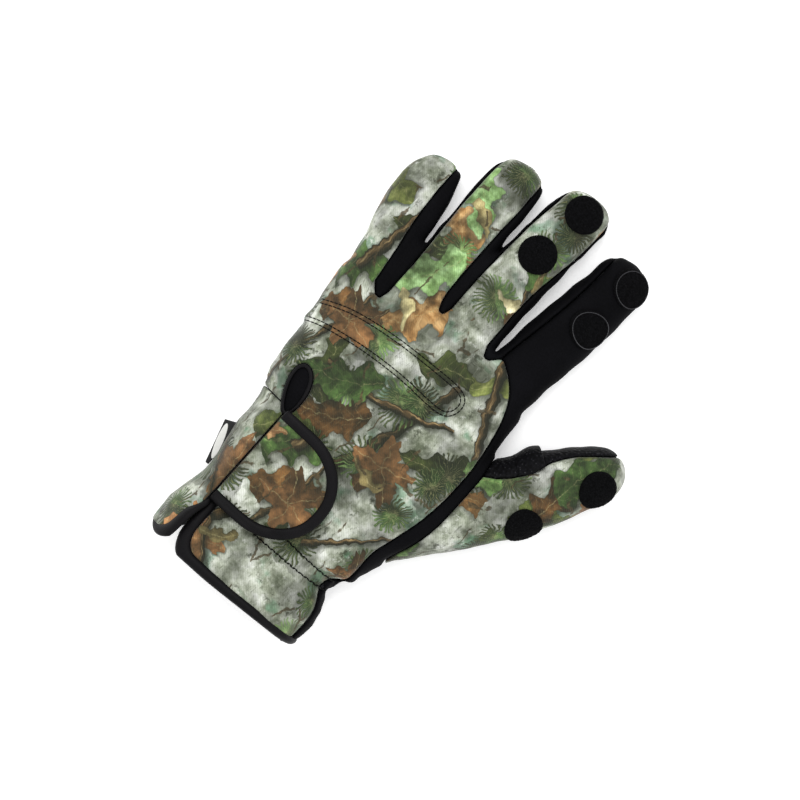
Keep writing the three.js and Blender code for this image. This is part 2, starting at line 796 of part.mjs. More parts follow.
const glove = new THREE.Group();
for (const [name, finish, solid] of pieces) {
  const mesh = new THREE.Mesh(toGeometry(mainBody(solid)), new THREE.MeshStandardMaterial(finishes[finish]));
  mesh.name = name;
  glove.add(mesh);
}

// The origin lies on the table under the middle of the glove
const box = new THREE.Box3().setFromObject(glove);
const middle = box.getCenter(new THREE.Vector3());
glove.position.set(-middle.x, -middle.y, -box.min.z);

export default glove;
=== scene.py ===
# A left-hand neoprene fishing glove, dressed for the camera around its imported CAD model.
# The soft forms are worked out on a grid of distances in millimetres and meshed from it.
import math

import bpy
import numpy as np
import openvdb
from mathutils import Matrix, Vector


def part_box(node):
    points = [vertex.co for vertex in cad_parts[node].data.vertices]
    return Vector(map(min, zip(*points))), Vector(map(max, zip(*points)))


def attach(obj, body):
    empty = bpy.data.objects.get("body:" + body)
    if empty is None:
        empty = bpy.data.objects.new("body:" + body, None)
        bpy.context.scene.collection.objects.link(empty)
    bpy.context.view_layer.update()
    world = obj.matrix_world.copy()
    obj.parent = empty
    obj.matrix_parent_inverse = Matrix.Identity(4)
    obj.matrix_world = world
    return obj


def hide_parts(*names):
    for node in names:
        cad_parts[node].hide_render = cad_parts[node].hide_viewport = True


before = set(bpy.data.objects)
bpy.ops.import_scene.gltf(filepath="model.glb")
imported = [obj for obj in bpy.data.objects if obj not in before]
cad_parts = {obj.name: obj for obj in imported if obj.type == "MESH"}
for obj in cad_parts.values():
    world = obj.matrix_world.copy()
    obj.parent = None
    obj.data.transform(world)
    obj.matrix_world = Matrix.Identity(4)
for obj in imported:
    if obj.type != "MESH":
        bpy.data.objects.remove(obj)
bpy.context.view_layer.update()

# Sizes of the glove in millimetres, as the model has them
CUFF_TO_KNUCKLE = 135.0
PALM_WIDTH = 112.0
PALM_HEIGHT = 34.0
WALL = 2.5
SIDE_SEAM = 7.0
FINGER_LENGTH = {"little": 90.8, "ring": 114.2, "middle": 123.7, "index": 112.7}
FINGER_WIDTH = {"little": 28.0, "ring": 29.0, "middle": 30.0, "index": 31.6}
FINGER_HEIGHT = {"little": 19.5, "ring": 21.0, "middle": 21.5, "index": 21.0}
THUMB_LENGTH = 129.0
THUMB_WIDTH = 38.4
THUMB_HEIGHT = 27.0
THUMB_SPLAY = math.radians(36.9)
THUMB_FOLD_AT = 91.0
THUMB_SEAM_AT = 89.0
HEM_LENGTH = 14.0
HEM_RISE = 2.4
TIP_OVERLAP = 0.4
TIP_GROWTH = 0.5
WEB_WIDTH = 18.0
WEB_HEIGHT = 18.0
STRAP_LIFT = 2.2
STRAP_THICKNESS = 2.5
STRAP_ROOT_X = -47.0
STRAP_EASE = 12.0
TAB_LENGTH = 46.5
TAB_STRAIGHT = 16.0
TAB_WIDTH = 55.0
TAB_BINDING = 5.5
CUFF_TAPE = 5.5
VENT_LENGTH = 21.0
VENT_WIDTH = 10.0
VENT_TAPE = 2.0
DOT_DIAMETER = 19.0
DOT_THICKNESS = 2.0
TAG_LENGTH = 24.0
TAG_REACH = 6.4
TAG_THICKNESS = 1.2
TIP_SPLIT = {"middle": 0.77, "index": 0.76}

# A section through the cloth: the share of its height where it is widest, how deep its underside
# reaches, the powers of its rounding and the spreads that ease its tables along the hand
WAIST = 0.4
UNDERSIDE = 1.12
SECTION = 2.4
PALM_SECTION = 2.3
PALM_SIDE = 30
PALM_SIDE_SHARE = 0.62
EASE = 4.0
PALM_EASE = 1.6
PALM_TO_DIGITS = 5

# Spacing of the distance grid, and of the meshes made from it
STEP = 0.75
FINE_STEP = 0.45
MM = 0.001


def table(columns, rows):
    names = columns.split()
    return [dict(zip(names, row)) for row in rows]


# along: share of cuff to knuckle. left, right: shares of half the palm's width. rise: of its height.
PALM = table("along left right rise", [
    (-0.05, -0.83, 0.735, 1.02),
    (0.0, -0.83, 0.735, 1.02),
    (0.13, -0.861, 0.786, 1.04),
    (0.211, -0.828, 0.736, 0.99),
    (0.25, -0.8, 0.657, 0.92),
    (0.268, -0.785, 0.712, 0.95),
    (0.288, -0.772, 0.67, 0.92),
    (0.33, -0.785, 0.79, 0.98),
    (0.478, -0.85, 0.885, 1.0),
    (0.611, -0.857, 0.973, 1.03),
    (0.7, -0.952, 1.005, 1.04),
    (0.804, -0.986, 1.007, 1.02),
    (0.959, -1.0, 0.973, 0.96),
    (1.07, -1.036, 0.929, 0.82),
    (1.148, -1.045, 0.89, 0.56),
])

# along: share of the finger. shift: of its lean. half, rise: of half its width and its height.
# left, right: where its back seams run, as shares of half.
FINGER_COLUMNS = "along shift half rise left right"
FINGERS = {
    "little": {"base": -0.4286, "lean": -0.075, "tip": 0.88, "rows": table(FINGER_COLUMNS, [
        (0.0, 0.1, 0.52, 1.0, -1.5, 0.7),
        (0.28, 0.18, 0.804, 1.0, -1.5, 0.48),
        (0.39, 0.29, 0.854, 1.0, -1.5, 0.4),
        (0.5, 0.52, 0.99, 0.99, -1.5, 0.35),
        (0.58, 0.66, 1.06, 0.97, -1.5, 0.3),
        (0.77, 0.99, 1.065, 0.92, -1.5, 0.305),
    ])},
    "ring": {"base": -0.2134, "lean": -0.01, "tip": 0.1, "rows": table(FINGER_COLUMNS, [
        (0.0, 0.0, 0.883, 1.0, -0.88, 0.88),
        (0.29, 0.05, 0.907, 1.0, -0.88, 0.83),
        (0.4, 0.05, 0.907, 1.0, -0.88, 0.7),
        (0.54, 0.55, 1.0, 1.0, -0.83, 0.66),
        (0.7, 0.55, 1.04, 0.97, -0.86, 0.635),
        (0.86, 1.0, 0.99, 0.9, -0.855, 0.72),
    ])},
    "middle": {"base": 0.0482, "lean": 0.0275, "tip": 1.1, "rows": table(FINGER_COLUMNS, [
        (0.0, 0.0, 0.947, 1.0, -0.9, 0.8),
        (0.3, 0.06, 1.007, 1.0, -0.895, 0.725),
        (0.5, -0.12, 1.02, 1.0, -0.856, 0.71),
        (0.64, -0.01, 1.05, 0.98, -0.8, 0.79),
        (0.77, 0.18, 1.04, 0.95, -0.8, 0.93),
        (0.89, 0.91, 0.97, 0.88, -0.86, 0.91),
    ])},
    "index": {"base": 0.325, "lean": 0.0674, "tip": 0.95, "rows": table(FINGER_COLUMNS, [
        (0.0, -0.12, 0.886, 1.0, -0.8, 1.5),
        (0.26, 0.03, 0.911, 1.0, -0.76, 1.5),
        (0.35, 0.07, 0.968, 1.0, -0.71, 1.5),
        (0.53, 0.39, 0.987, 0.99, -0.615, 1.5),
        (0.71, 0.74, 0.937, 0.96, -0.615, 1.5),
        (0.86, 0.97, 0.88, 0.9, -0.7, 1.5),
    ])},
}
WEBS = {"little_ring": (-0.339, 1.176), "ring_middle": (-0.093, 1.284), "middle_index": (0.179, 1.269)}
# The slits between neighbouring fingers: how far along, where across and half as wide, in millimetres
FINGER_SLITS = {
    "little_ring": [(187, -38.5, 0.7), (195, -38.9, 1.1), (205, -39.9, 1.6), (215, -41.3, 2.4),
                    (225, -44, 3.1)],
    "ring_middle": [(206, -9.6, 0.6), (214, -9.6, 0.9), (224, -9.4, 1.3), (234, -9.3, 1.9), (244, -9.3, 3.1)],
    "middle_index": [(171, 21.4, 0.6), (180, 21.8, 1.0), (190, 22.3, 1.4), (200, 23.0, 1.9), (220, 24.7, 2.9),
                     (240, 27, 3.8)],
}
FINGER_DOME = 2.4
THUMB_ROOT = (0.269, 0.494)
THUMB_TIP = -0.1
THUMB_SEAM_END = -0.236
THUMB = table("along shift half rise seam", [
    (0.0, 0.04, 0.73, 0.9, -0.95),
    (0.155, 0.015, 0.94, 0.97, -0.95),
    (0.349, 0.0, 1.0, 1.0, -0.85),
    (0.465, 0.0, 1.0, 1.0, -0.72),
    (0.55, 0.0, 0.99, 1.0, -0.53),
    (0.659, -0.045, 0.99, 0.97, -0.46),
    (0.744, -0.047, 0.88, 0.93, -0.73),
    (0.845, -0.077, 0.805, 0.87, -0.7),
    (0.87, -0.082, 0.735, 0.85, -0.7),
])

# Seams as (along, across): shares of cuff to knuckle and of half the palm's width
BACK_SEAM = [
    (1.267, 0.493), (1.23, 0.625), (1.19, 0.718), (1.145, 0.78), (1.073, 0.839), (0.934, 0.895),
    (0.81, 0.902), (0.672, 0.873), (0.556, 0.8), (0.457, 0.729), (0.364, 0.746), (0.321, 0.723),
    (0.292, 0.6), (0.244, 0.6), (0.2, 0.68), (0.13, 0.72), (-0.1, 0.68),
]
THUMB_SEAM = [
    (1.3, 1.2), (1.08, 1.05), (0.985, 0.98), (0.923, 1.002), (0.874, 1.005), (0.713, 1.005),
    (0.639, 0.988), (0.564, 0.946), (0.49, 0.875), (0.455, 0.865), (0.4, 0.99),
]

# Dots: along and across their digit, and the tilt of their axis in degrees
DOTS = table("finger end along across tilt", [
    ("middle", "base", 0.677, 0.01, 0),
    ("middle", "tip", 0.912, 0.05, 0),
    ("index", "base", 0.655, 0.5, 34),
    ("index", "tip", 0.903, 0.38, 30),
    ("thumb", "base", 0.584, 0.7, 42),
    ("thumb", "tip", 0.877, 0.36, 24),
])
SLIT_X = -0.593 * PALM_WIDTH / 2
SLIT_TOP = 0.643 * CUFF_TO_KNUCKLE
TAPE_END = 0.22 * CUFF_TO_KNUCKLE
TAB_X = -0.58 * PALM_WIDTH / 2
TAB_Y = 0.437 * CUFF_TO_KNUCKLE
VENT_AT = (-0.645 * PALM_WIDTH / 2, 0.63 * CUFF_TO_KNUCKLE)
VENT_LEAN = 6.0
TAG_AT = (-0.84 * PALM_WIDTH / 2, 0.388 * CUFF_TO_KNUCKLE)

FAR = 200.0


def palm_x(across):
    return across * PALM_WIDTH / 2


def palm_y(along):
    return along * CUFF_TO_KNUCKLE


def finger_x(name, shift):
    finger = FINGERS[name]
    return finger["base"] * PALM_WIDTH + finger["lean"] * FINGER_LENGTH[name] * shift


# Distances

def smooth_max(a, b, reach):
    """The larger of two fields, rounded over where they are within reach of each other."""
    share = np.clip(0.5 + 0.5 * (a - b) / reach, 0, 1)
    return b + (a - b) * share + reach * share * (1 - share)


def smooth_min(a, b, reach):
    return -smooth_max(-a, -b, reach)


def eased(along, values, at, spread):
    """A column of a table at many places, with its corners eased over a spread."""
    offsets = np.linspace(-1.5, 1.5, 13)
    weights = np.exp(-offsets ** 2)
    total = sum(w * np.interp(at + o * spread, along, values) for w, o in zip(weights, offsets))
    return total / weights.sum()


def level(z, top):
    """How far the top or the underside lies from the widest level, and the share of it reached at z."""
    waist = WAIST * top
    rise = np.where(z > waist, top - waist, UNDERSIDE * waist)
    return rise, np.abs(z - waist) / rise


def tube(x, y, z, rows, length, width, height, x_of, tip_x, dome=2.0):
    """A soft tube along y that lies on z = 0, closed by a dome; a larger power makes it fuller."""
    along = np.array([row["along"] for row in rows]) * length
    middle = eased(along, [x_of(row) for row in rows], y, EASE)
    half = eased(along, [row["half"] * width / 2 for row in rows], y, EASE)
    top = eased(along, [row["rise"] * height for row in rows], y, EASE)
    share = np.clip((y - along[-1]) / (length - along[-1]), 0, None)
    fill = np.clip(1 - share ** dome, 0, 1) ** (1 / dome) - np.clip(share - 1, 0, None)
    middle = middle + (tip_x - x_of(rows[-1])) * np.clip(share, 0, 1)
    across = np.abs(x - middle) / half
    rise, lift = level(z, top)
    form = (across ** SECTION + lift ** SECTION) ** (1 / SECTION)
    scale = 1 / np.sqrt((across / (half * form + 1e-6)) ** 2 + (lift / (rise * form + 1e-6)) ** 2 + 1e-6)
    return (form - fill) * np.minimum(scale, 30)


def hand_field(x, y, z):
    """Rough distance to the outside of the whole glove, before its flat underside."""
    along = [palm_y(row["along"]) for row in PALM]
    left = eased(along, [palm_x(row["left"]) for row in PALM], y, PALM_EASE)
    right = eased(along, [palm_x(row["right"]) for row in PALM], y, PALM_EASE)
    rise, lift = level(z, eased(along, [PALM_HEIGHT * row["rise"] for row in PALM], y, PALM_EASE))
    half = (right - left) / 2
    offset = np.abs(x - (left + right) / 2)
    # The palm is a flat pillow: a level middle with rounded sides
    edge = np.minimum(half * PALM_SIDE_SHARE, PALM_SIDE)
    across = np.clip((offset - (half - edge)) / edge, 0, None)
    form = (across ** PALM_SECTION + lift ** PALM_SECTION) ** (1 / PALM_SECTION)
    palm = (form - 1) * np.minimum(edge, rise)
    palm = np.maximum(palm, y - along[-1])
    fingers = FAR
    for name, finger in FINGERS.items():
        fingers = np.minimum(fingers, tube(
            x, y - CUFF_TO_KNUCKLE, z, finger["rows"], FINGER_LENGTH[name], FINGER_WIDTH[name],
            FINGER_HEIGHT[name], lambda row, n=name: finger_x(n, row["shift"]),
            finger_x(name, finger["tip"]), FINGER_DOME))
        fingers = np.where(y < CUFF_TO_KNUCKLE - 12, FAR, fingers)
    for name, (across, reach) in WEBS.items():
        rows = table("along half rise", [(0, 1, 1), (0.9, 1, 1)])
        filled = max(palm_y(reach), FINGER_SLITS[name][0][0] + 2)
        web = tube(x, y - palm_y(1), z, rows, filled - palm_y(1), WEB_WIDTH, WEB_HEIGHT,
                   lambda row, c=across: c * PALM_WIDTH, across * PALM_WIDTH)
        fingers = np.minimum(fingers, np.where(y < palm_y(1), FAR, web))
    for line in FINGER_SLITS.values():
        middle = np.interp(y, [row[0] for row in line], [row[1] for row in line])
        half = np.interp(y, [row[0] for row in line], [row[2] for row in line])
        fingers = smooth_max(fingers, np.where(y < line[0][0], -FAR, half - np.abs(x - middle)), 0.8)
    s, t = to_thumb(x, y)
    thumb = tube(s, t, z, THUMB, THUMB_LENGTH, THUMB_WIDTH, THUMB_HEIGHT,
                 lambda row: row["shift"] * THUMB_WIDTH, THUMB_TIP * THUMB_WIDTH)
    thumb = np.where(t < 0, FAR, thumb)
    return smooth_min(smooth_min(palm, fingers, PALM_TO_DIGITS), thumb, PALM_TO_DIGITS)


def to_thumb(x, y):
    """Places in the hand as places in the thumb's splayed frame."""
    dx = x - THUMB_ROOT[0] * PALM_WIDTH
    dy = y - palm_y(THUMB_ROOT[1])
    cos, sin = math.cos(THUMB_SPLAY), math.sin(THUMB_SPLAY)
    return dx * cos - dy * sin, dx * sin + dy * cos


def from_thumb(points):
    cos, sin = math.cos(THUMB_SPLAY), math.sin(THUMB_SPLAY)
    root_x, root_y = THUMB_ROOT[0] * PALM_WIDTH, palm_y(THUMB_ROOT[1])
    return [(s * cos + t * sin + root_x, -s * sin + t * cos + root_y) for s, t in points]


def axis(low, high, step):
    return np.arange(low, high + step, step, dtype=np.float32)


def mesh_of(field, low, step):
    """The zero surface of a dense field, as points in millimetres and quads."""
    grid = openvdb.FloatGrid(background=float(field.max()))
    grid.copyFromArray(np.ascontiguousarray(field, dtype=np.float32), tolerance=0)
    grid.transform = openvdb.createLinearTransform(voxelSize=step)
    points, triangles, quads = grid.convertToPolygons(isovalue=0.0, adaptivity=0.0)
    return points + np.array(low, dtype=np.float32), quads, triangles


def blurred(field, turns=1):
    """A field eased with a small three-point filter along each axis."""
    for _ in range(turns):
        for k in range(field.ndim):
            field = (np.roll(field, 1, k) + 2 * field + np.roll(field, -1, k)) / 4
    return field


LOW = (-78.0, -9.0, -3.0)
HIGH = (114.0, 266.0, 46.0)
BAND = 9.0


def distance_grid():
    """True distance to the glove's smooth outer face, on the whole grid."""
    xs, ys, zs = (axis(lo, hi, STEP) for lo, hi in zip(LOW, HIGH))
    x, y, z = xs[:, None, None], ys[None, :, None], zs[None, None, :]
    rough = hand_field(x, y, z)
    rough = smooth_max(rough, -z + 0 * rough, 1.0)
    rough = blurred(np.maximum(rough, LOW[1] + 2 - y))
    points, quads, triangles = mesh_of(rough, (0, 0, 0), STEP)
    level = openvdb.FloatGrid.createLevelSetFromPolygons(
        points, triangles=triangles, quads=quads,
        transform=openvdb.createLinearTransform(voxelSize=STEP), halfWidth=BAND / STEP)
    distance = np.full(rough.shape, BAND, np.float32)
    level.copyToArray(distance, ijk=(0, 0, 0))
    return blurred(np.where(rough > 0, np.abs(distance), -np.abs(distance)))


DISTANCE = distance_grid()


def resample(low, high, step):
    """The distance on a box of its own spacing, with the box's axes."""
    axes = [axis(lo, hi, step) for lo, hi in zip(low, high)]
    field = DISTANCE
    for k, places in enumerate(axes):
        at = np.clip((places - LOW[k]) / STEP, 0, DISTANCE.shape[k] - 1.001)
        base = at.astype(int)
        share = (at - base).reshape([-1 if i == k else 1 for i in range(3)])
        field = np.take(field, base, axis=k) * (1 - share) + np.take(field, base + 1, axis=k) * share
    x, y, z = axes
    return field, x[:, None, None], y[None, :, None], z[None, None, :]


def sample(points, field=DISTANCE):
    """The distance, or another field on its grid, at a list of points."""
    at = np.clip((points - np.array(LOW)) / STEP, 0, np.array(field.shape) - 1.001)
    base = at.astype(int)
    share = at - base
    total = 0
    for corner in np.ndindex(2, 2, 2):
        weight = np.prod(np.where(corner, share, 1 - share), axis=1)
        index = base + np.array(corner)
        total = total + weight * field[index[:, 0], index[:, 1], index[:, 2]]
    return total


# Outlines seen from above

def rounded(points, turns=2, closed=False):
    """A line of points with its corners cut, so that it runs round them."""
    for _ in range(turns):
        pairs = list(zip(points, points[1:] + points[:1] if closed else points[1:]))
        cut = [] if closed else [points[0]]
        for a, b in pairs:
            cut.append((0.75 * a[0] + 0.25 * b[0], 0.75 * a[1] + 0.25 * b[1]))
            cut.append((0.25 * a[0] + 0.75 * b[0], 0.25 * a[1] + 0.75 * b[1]))
        points = cut if closed else cut + [points[-1]]
    return points


def square_distance(line, px, py):
    """Squared distance to an open line seen from above."""
    nearest = np.full(px.shape, np.inf, np.float32)
    for (ax, ay), (bx, by) in zip(line, line[1:]):
        ex, ey = bx - ax, by - ay
        share = np.clip(((px - ax) * ex + (py - ay) * ey) / (ex * ex + ey * ey + 1e-9), 0, 1)
        nearest = np.minimum(nearest, (px - ax - share * ex) ** 2 + (py - ay - share * ey) ** 2)
    return nearest


def line_distance(line, x, y):
    """Plain distance to an open line seen from above."""
    return np.sqrt(square_distance(line, *np.broadcast_arrays(x[..., 0], y[..., 0])))[..., None]


def outline_distance(outline, x, y):
    """Distance to an outline seen from above, positive inside it."""
    px, py = np.broadcast_arrays(x[..., 0], y[..., 0])
    inside = np.zeros(px.shape, bool)
    for (ax, ay), (bx, by) in zip(outline, outline[1:] + outline[:1]):
        if ay != by:
            inside ^= ((ay > py) != (by > py)) & (px < ax + (py - ay) * (bx - ax) / (by - ay))
    nearest = np.sqrt(square_distance(outline + outline[:1], px, py))
    return (nearest * np.where(inside, 1, -1))[..., None]


def line_from(line, start):
    """The part of a line that runs upwards past a height, starting exactly there."""
    above = next(i for i, point in enumerate(line) if point[1] > start)
    low, high = line[above - 1], line[above]
    share = (start - low[1]) / (high[1] - low[1])
    return [(low[0] + share * (high[0] - low[0]), start)] + line[above:]


def finger_seam(name, edge, start):
    """A back seam of a finger, from a height near its web to past its tip."""
    finger = FINGERS[name]
    line = [(finger_x(name, row["shift"]) + row[edge] * row["half"] * FINGER_WIDTH[name] / 2,
             CUFF_TO_KNUCKLE + row["along"] * FINGER_LENGTH[name]) for row in finger["rows"]]
    past = CUFF_TO_KNUCKLE + FINGER_LENGTH[name] + FINGER_WIDTH[name] / 2
    end_x = 0.9 * line[-1][0] + 0.1 * finger_x(name, finger["tip"])
    return rounded(line_from(line + [(end_x, past)], start))


def fourchette_outline(web, left_finger, right_finger):
    across, reach = WEBS[web]
    middle, top = across * PALM_WIDTH, palm_y(reach)
    foot = [(middle - WALL / 2, top - 2 * WALL), (middle + WALL / 2, top - 2 * WALL)]
    return foot + finger_seam(right_finger, "left", top) + finger_seam(left_finger, "right", top)[::-1]


def seam_points(rows):
    return rounded([(palm_x(across), palm_y(along)) for along, across in rows])


BELOW = -palm_y(0.1)
ABOVE = CUFF_TO_KNUCKLE + 1.3 * FINGER_LENGTH["middle"]
FOURCHETTES = {f"fourchette_{web}": fourchette_outline(web, *web.split("_")) for web in WEBS}
INDEX_OUTLINE = (
    seam_points(BACK_SEAM)[::-1]
    + finger_seam("index", "left", palm_y(WEBS["middle_index"][1]))
    + [(palm_x(1.2), ABOVE)] + seam_points(THUMB_SEAM) + [(palm_x(1.1), BELOW)]
)
THUMB_OUTLINE = seam_points(THUMB_SEAM) + [
    (FAR, palm_y(THUMB_SEAM[-1][0])), (FAR, ABOVE), (palm_x(1.2), ABOVE)]


def thumb_edge(start, end, count):
    """The seam beside the thumb's black side, between two distances along the thumb."""
    line = [(row["shift"] * THUMB_WIDTH + row["seam"] * row["half"] * THUMB_WIDTH / 2,
             row["along"] * THUMB_LENGTH) for row in THUMB]
    line.append((THUMB_SEAM_END * THUMB_WIDTH, THUMB_LENGTH))
    places, edge = [p[1] for p in line], [p[0] for p in line]
    return [(float(np.interp(t, places, edge)), t) for t in np.linspace(start, end, count)]


def thumb_side_outline(start, end):
    """The thumb's black inner side between two distances along it."""
    return from_thumb([(-THUMB_WIDTH, start)] + thumb_edge(start, end, 60) + [(-THUMB_WIDTH, end)])


THUMB_SIDE = thumb_side_outline(-THUMB_LENGTH, 2 * THUMB_LENGTH)


def tab_outline(margin, root=TAB_X):
    """The D-shaped tab: a straight root and a rounded end."""
    half = TAB_WIDTH / 2 - margin
    start = TAB_X + TAB_STRAIGHT
    reach = TAB_LENGTH - TAB_STRAIGHT - margin
    end = []
    for angle in np.linspace(-math.pi / 2, math.pi / 2, 33):
        c, s = abs(math.cos(angle)), math.sin(angle)
        end.append((start + reach * c ** (2 / 2.1), TAB_Y + half * math.copysign(abs(s) ** (2 / 2.1), s)))
    return [(root, TAB_Y - half)] + end + [(root, TAB_Y + half)]


def vent_outline(margin):
    """The drop-shaped vent, pointed below and round above."""
    outline = []
    for angle in np.linspace(0, 2 * math.pi, 28, endpoint=False):
        up = (1 - math.cos(angle)) / 2
        wide = (VENT_WIDTH / 2 + margin) * math.sin(angle) * (0.66 + 0.4 * up)
        outline.append((VENT_AT[0] + wide + VENT_LEAN * (0.5 - up),
                        VENT_AT[1] - margin + (VENT_LENGTH + 2 * margin) * up))
    return outline


STRAP_FOOT = (SLIT_X - 3.4 * WALL, BELOW)
STRAP_EDGE = [(SLIT_X, palm_y(0.1)), (SLIT_X - WALL, palm_y(0.03)), STRAP_FOOT]
STRAP_OUTLINE = [(-FAR, SLIT_TOP), (SLIT_X, SLIT_TOP)] + STRAP_EDGE + [(-FAR, BELOW)]
TAB_CORNER = TAB_Y - TAB_WIDTH / 2
STRAP_TAPE = [
    (TAB_X, TAB_CORNER + 1), (SLIT_X - 1.6, TAB_CORNER - 5.5), (SLIT_X - 4.6, TAB_CORNER - 10.5),
    (SLIT_X - CUFF_TAPE, palm_y(0.11)), (SLIT_X - 1.1 * CUFF_TAPE, palm_y(0.07)),
    (SLIT_X - 1.6 * CUFF_TAPE, palm_y(0.044)), (SLIT_X - 2.2 * CUFF_TAPE, CUFF_TAPE), (-FAR, CUFF_TAPE),
    (-FAR, BELOW), (SLIT_X - CUFF_TAPE, BELOW), (SLIT_X - 3.8, 0.6), (SLIT_X - 1.3, 4.0),
    (SLIT_X - 0.3, 8.5), (SLIT_X, 14.0), (SLIT_X + 1.2, TAB_CORNER - 8), (SLIT_X + 3.2, TAB_CORNER - 1.5)]
CUFF_OUTLINE = [
    (SLIT_X, TAPE_END + 9), (SLIT_X, palm_y(0.085)), (SLIT_X + 2.2, 5.4), (SLIT_X + 4.8, 1.6),
    (SLIT_X + 8.5, -0.4), (SLIT_X + 14, -1.5), (SLIT_X + 16, BELOW), (FAR, BELOW),
    (FAR, CUFF_TAPE), (SLIT_X + 15, CUFF_TAPE + 0.3), (SLIT_X + 10.5, CUFF_TAPE + 1.5),
    (SLIT_X + 7.6, CUFF_TAPE + 4.5), (SLIT_X + CUFF_TAPE + 0.4, palm_y(0.11)),
    (SLIT_X + CUFF_TAPE, TAPE_END + 9)]
NOTCH = [(SLIT_X - 0.2, 12.0), (SLIT_X + 2.2, 6.0), (SLIT_X + 5.5, 1.5), (SLIT_X + 9, BELOW),
         (SLIT_X - 9, BELOW), (SLIT_X - 6, 1.5), (SLIT_X - 2.0, 5.5)]
SLIT_SIDE = [(-FAR, BELOW), (SLIT_X + CUFF_TAPE, BELOW), (SLIT_X + CUFF_TAPE, TAPE_END + 9),
             (SLIT_X, TAPE_END + 9), (SLIT_X, SLIT_TOP), (-FAR, SLIT_TOP)]

# Relief of the cloth: soft waves, the elastic's gathers, stitched grooves and creases
STITCHED_LOOP = [
    (-56.6, 135.2), (-46.5, 139.6), (-36.0, 142.6), (-20.0, 145.2), (-4.0, 146.6), (10.0, 147.3),
    (20.5, 147.6), (25.5, 145.6), (27.6, 141.1), (26.4, 135.3), (22.6, 131.9), (15.0, 131.2),
    (-3.5, 131.9), (-24.3, 130.2), (-40.5, 127.3), (-49.1, 125.2), (-56.4, 122.4),
]
CREASES_AT = (STRAP_ROOT_X, 6)
CREASES = [(88.5, 0.35, 1.0), (92.5, 0.2, 1.1)]
ELASTIC_LINES = [[(-5.8, 32.4), (12.1, 32.8), (36.0, 33.7)], [(7.7, 40.6), (20.1, 40.0), (36.8, 39.8)]]


def waves(x, y, z):
    """Slow uneven swells of cloth, from a few crossing sines."""
    return (np.sin(0.21 * x + 1.7 * np.sin(0.093 * y) + 0.4) * np.sin(0.17 * y + 0.15 * z + 1.1)
            + 0.6 * np.sin(0.41 * y - 0.23 * x + 1.3 * np.sin(0.12 * x + 2.0))
            + 0.4 * np.sin(0.55 * x + 0.35 * y + 0.3 * z))


def gathers(x, y):
    """Fine folds that run up and down across the elastic at the wrist."""
    total = 0
    for line in ELASTIC_LINES:
        near = line_distance(line, x, y)
        folds = np.sin(1.35 * x + 0.8 * np.sin(0.5 * x) + 0.25 * y)
        total = total - 0.7 * np.exp(-(near / 1.3) ** 2) + 0.35 * folds * np.exp(-(near / 4.5) ** 2)
    return total


def relief(x, y, z):
    top = np.clip((z - SIDE_SEAM) / 8, 0, 1)
    stitched = line_distance(rounded(STITCHED_LOOP), x, y)
    groove = np.exp(-(stitched / 0.7) ** 2) + np.exp(-((stitched - 1.7) / 0.7) ** 2)
    side = np.exp(-(((y - 37) / 14) ** 2)) * np.clip((x - 24) / 8, 0, 1)
    scallops = 0.5 * side * np.sin(0.85 * y + 0.4)
    middle, reach = CREASES_AT
    creases = -0.7 * np.exp(-((x - middle) / reach) ** 2) * sum(
        np.exp(-((y - start + slope * (x - middle)) / wide) ** 2) for start, slope, wide in CREASES)
    swell = 0.22 * waves(x, y, z) * np.clip(z / 6, 0, 1)
    return swell + top * (gathers(x, y) - 0.3 * groove + scallops + creases)


# Meshes

def dot_place(row):
    """Where a dot's middle lies, seen from above."""
    name, along = row["finger"], row["along"]
    rows = THUMB if name == "thumb" else FINGERS[name]["rows"]
    step = [r for r in rows if r["along"] <= along][-1]
    if name == "thumb":
        s = step["shift"] * THUMB_WIDTH + row["across"] * THUMB_WIDTH / 2
        return from_thumb([(s, along * THUMB_LENGTH)])[0]
    x = finger_x(name, step["shift"]) + row["across"] * FINGER_WIDTH[name] / 2
    return x, CUFF_TO_KNUCKLE + along * FINGER_LENGTH[name]


def row_offset():
    """From the hand's own millimetres to the model's frame, read off one dot's place there."""
    low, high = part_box("dot_middle_base")
    x, y = dot_place(DOTS[0])
    return (low[0] + high[0]) / 2 / MM - x, (low[1] + high[1]) / 2 / MM - y, 0.0


OFFSET = np.array(row_offset())


def largest(points, faces):
    """The biggest connected part of a mesh, without stray specks."""
    labels = np.arange(len(points))
    while True:
        lowest = labels[faces].min(axis=1)
        new = labels.copy()
        np.minimum.at(new, faces.ravel(), np.repeat(lowest, faces.shape[1]))
        new = new[new]
        if np.array_equal(new, labels):
            break
        labels = new
    kept = labels == np.bincount(labels).argmax()
    index = np.cumsum(kept) - 1
    return points[kept], index[faces[kept[faces[:, 0]]]]


def build_mesh(name, points, faces, materials):
    """A Blender object from points in the hand's millimetres."""
    places = (points + OFFSET) * MM
    mesh = bpy.data.meshes.new(name)
    corners = faces.shape[1]
    mesh.vertices.add(len(places))
    mesh.vertices.foreach_set("co", places.astype(np.float32).ravel())
    mesh.loops.add(faces.size)
    mesh.loops.foreach_set("vertex_index", faces.astype(np.int32).ravel())
    mesh.polygons.add(len(faces))
    mesh.polygons.foreach_set("loop_start", np.arange(0, faces.size, corners, dtype=np.int32))
    mesh.update(calc_edges=True)
    mesh.validate()
    mesh.shade_smooth()
    for material in materials:
        mesh.materials.append(material)
    piece = bpy.data.objects.new(name, mesh)
    bpy.context.scene.collection.objects.link(piece)
    return piece


def outward_faces(points, faces):
    """Faces turned so that a closed mesh has a positive volume."""
    a, b, c = (points[faces[:, i]] for i in range(3))
    volume = np.einsum("ij,ij->i", a, np.cross(b, c)).sum()
    return faces if volume > 0 else faces[:, ::-1]


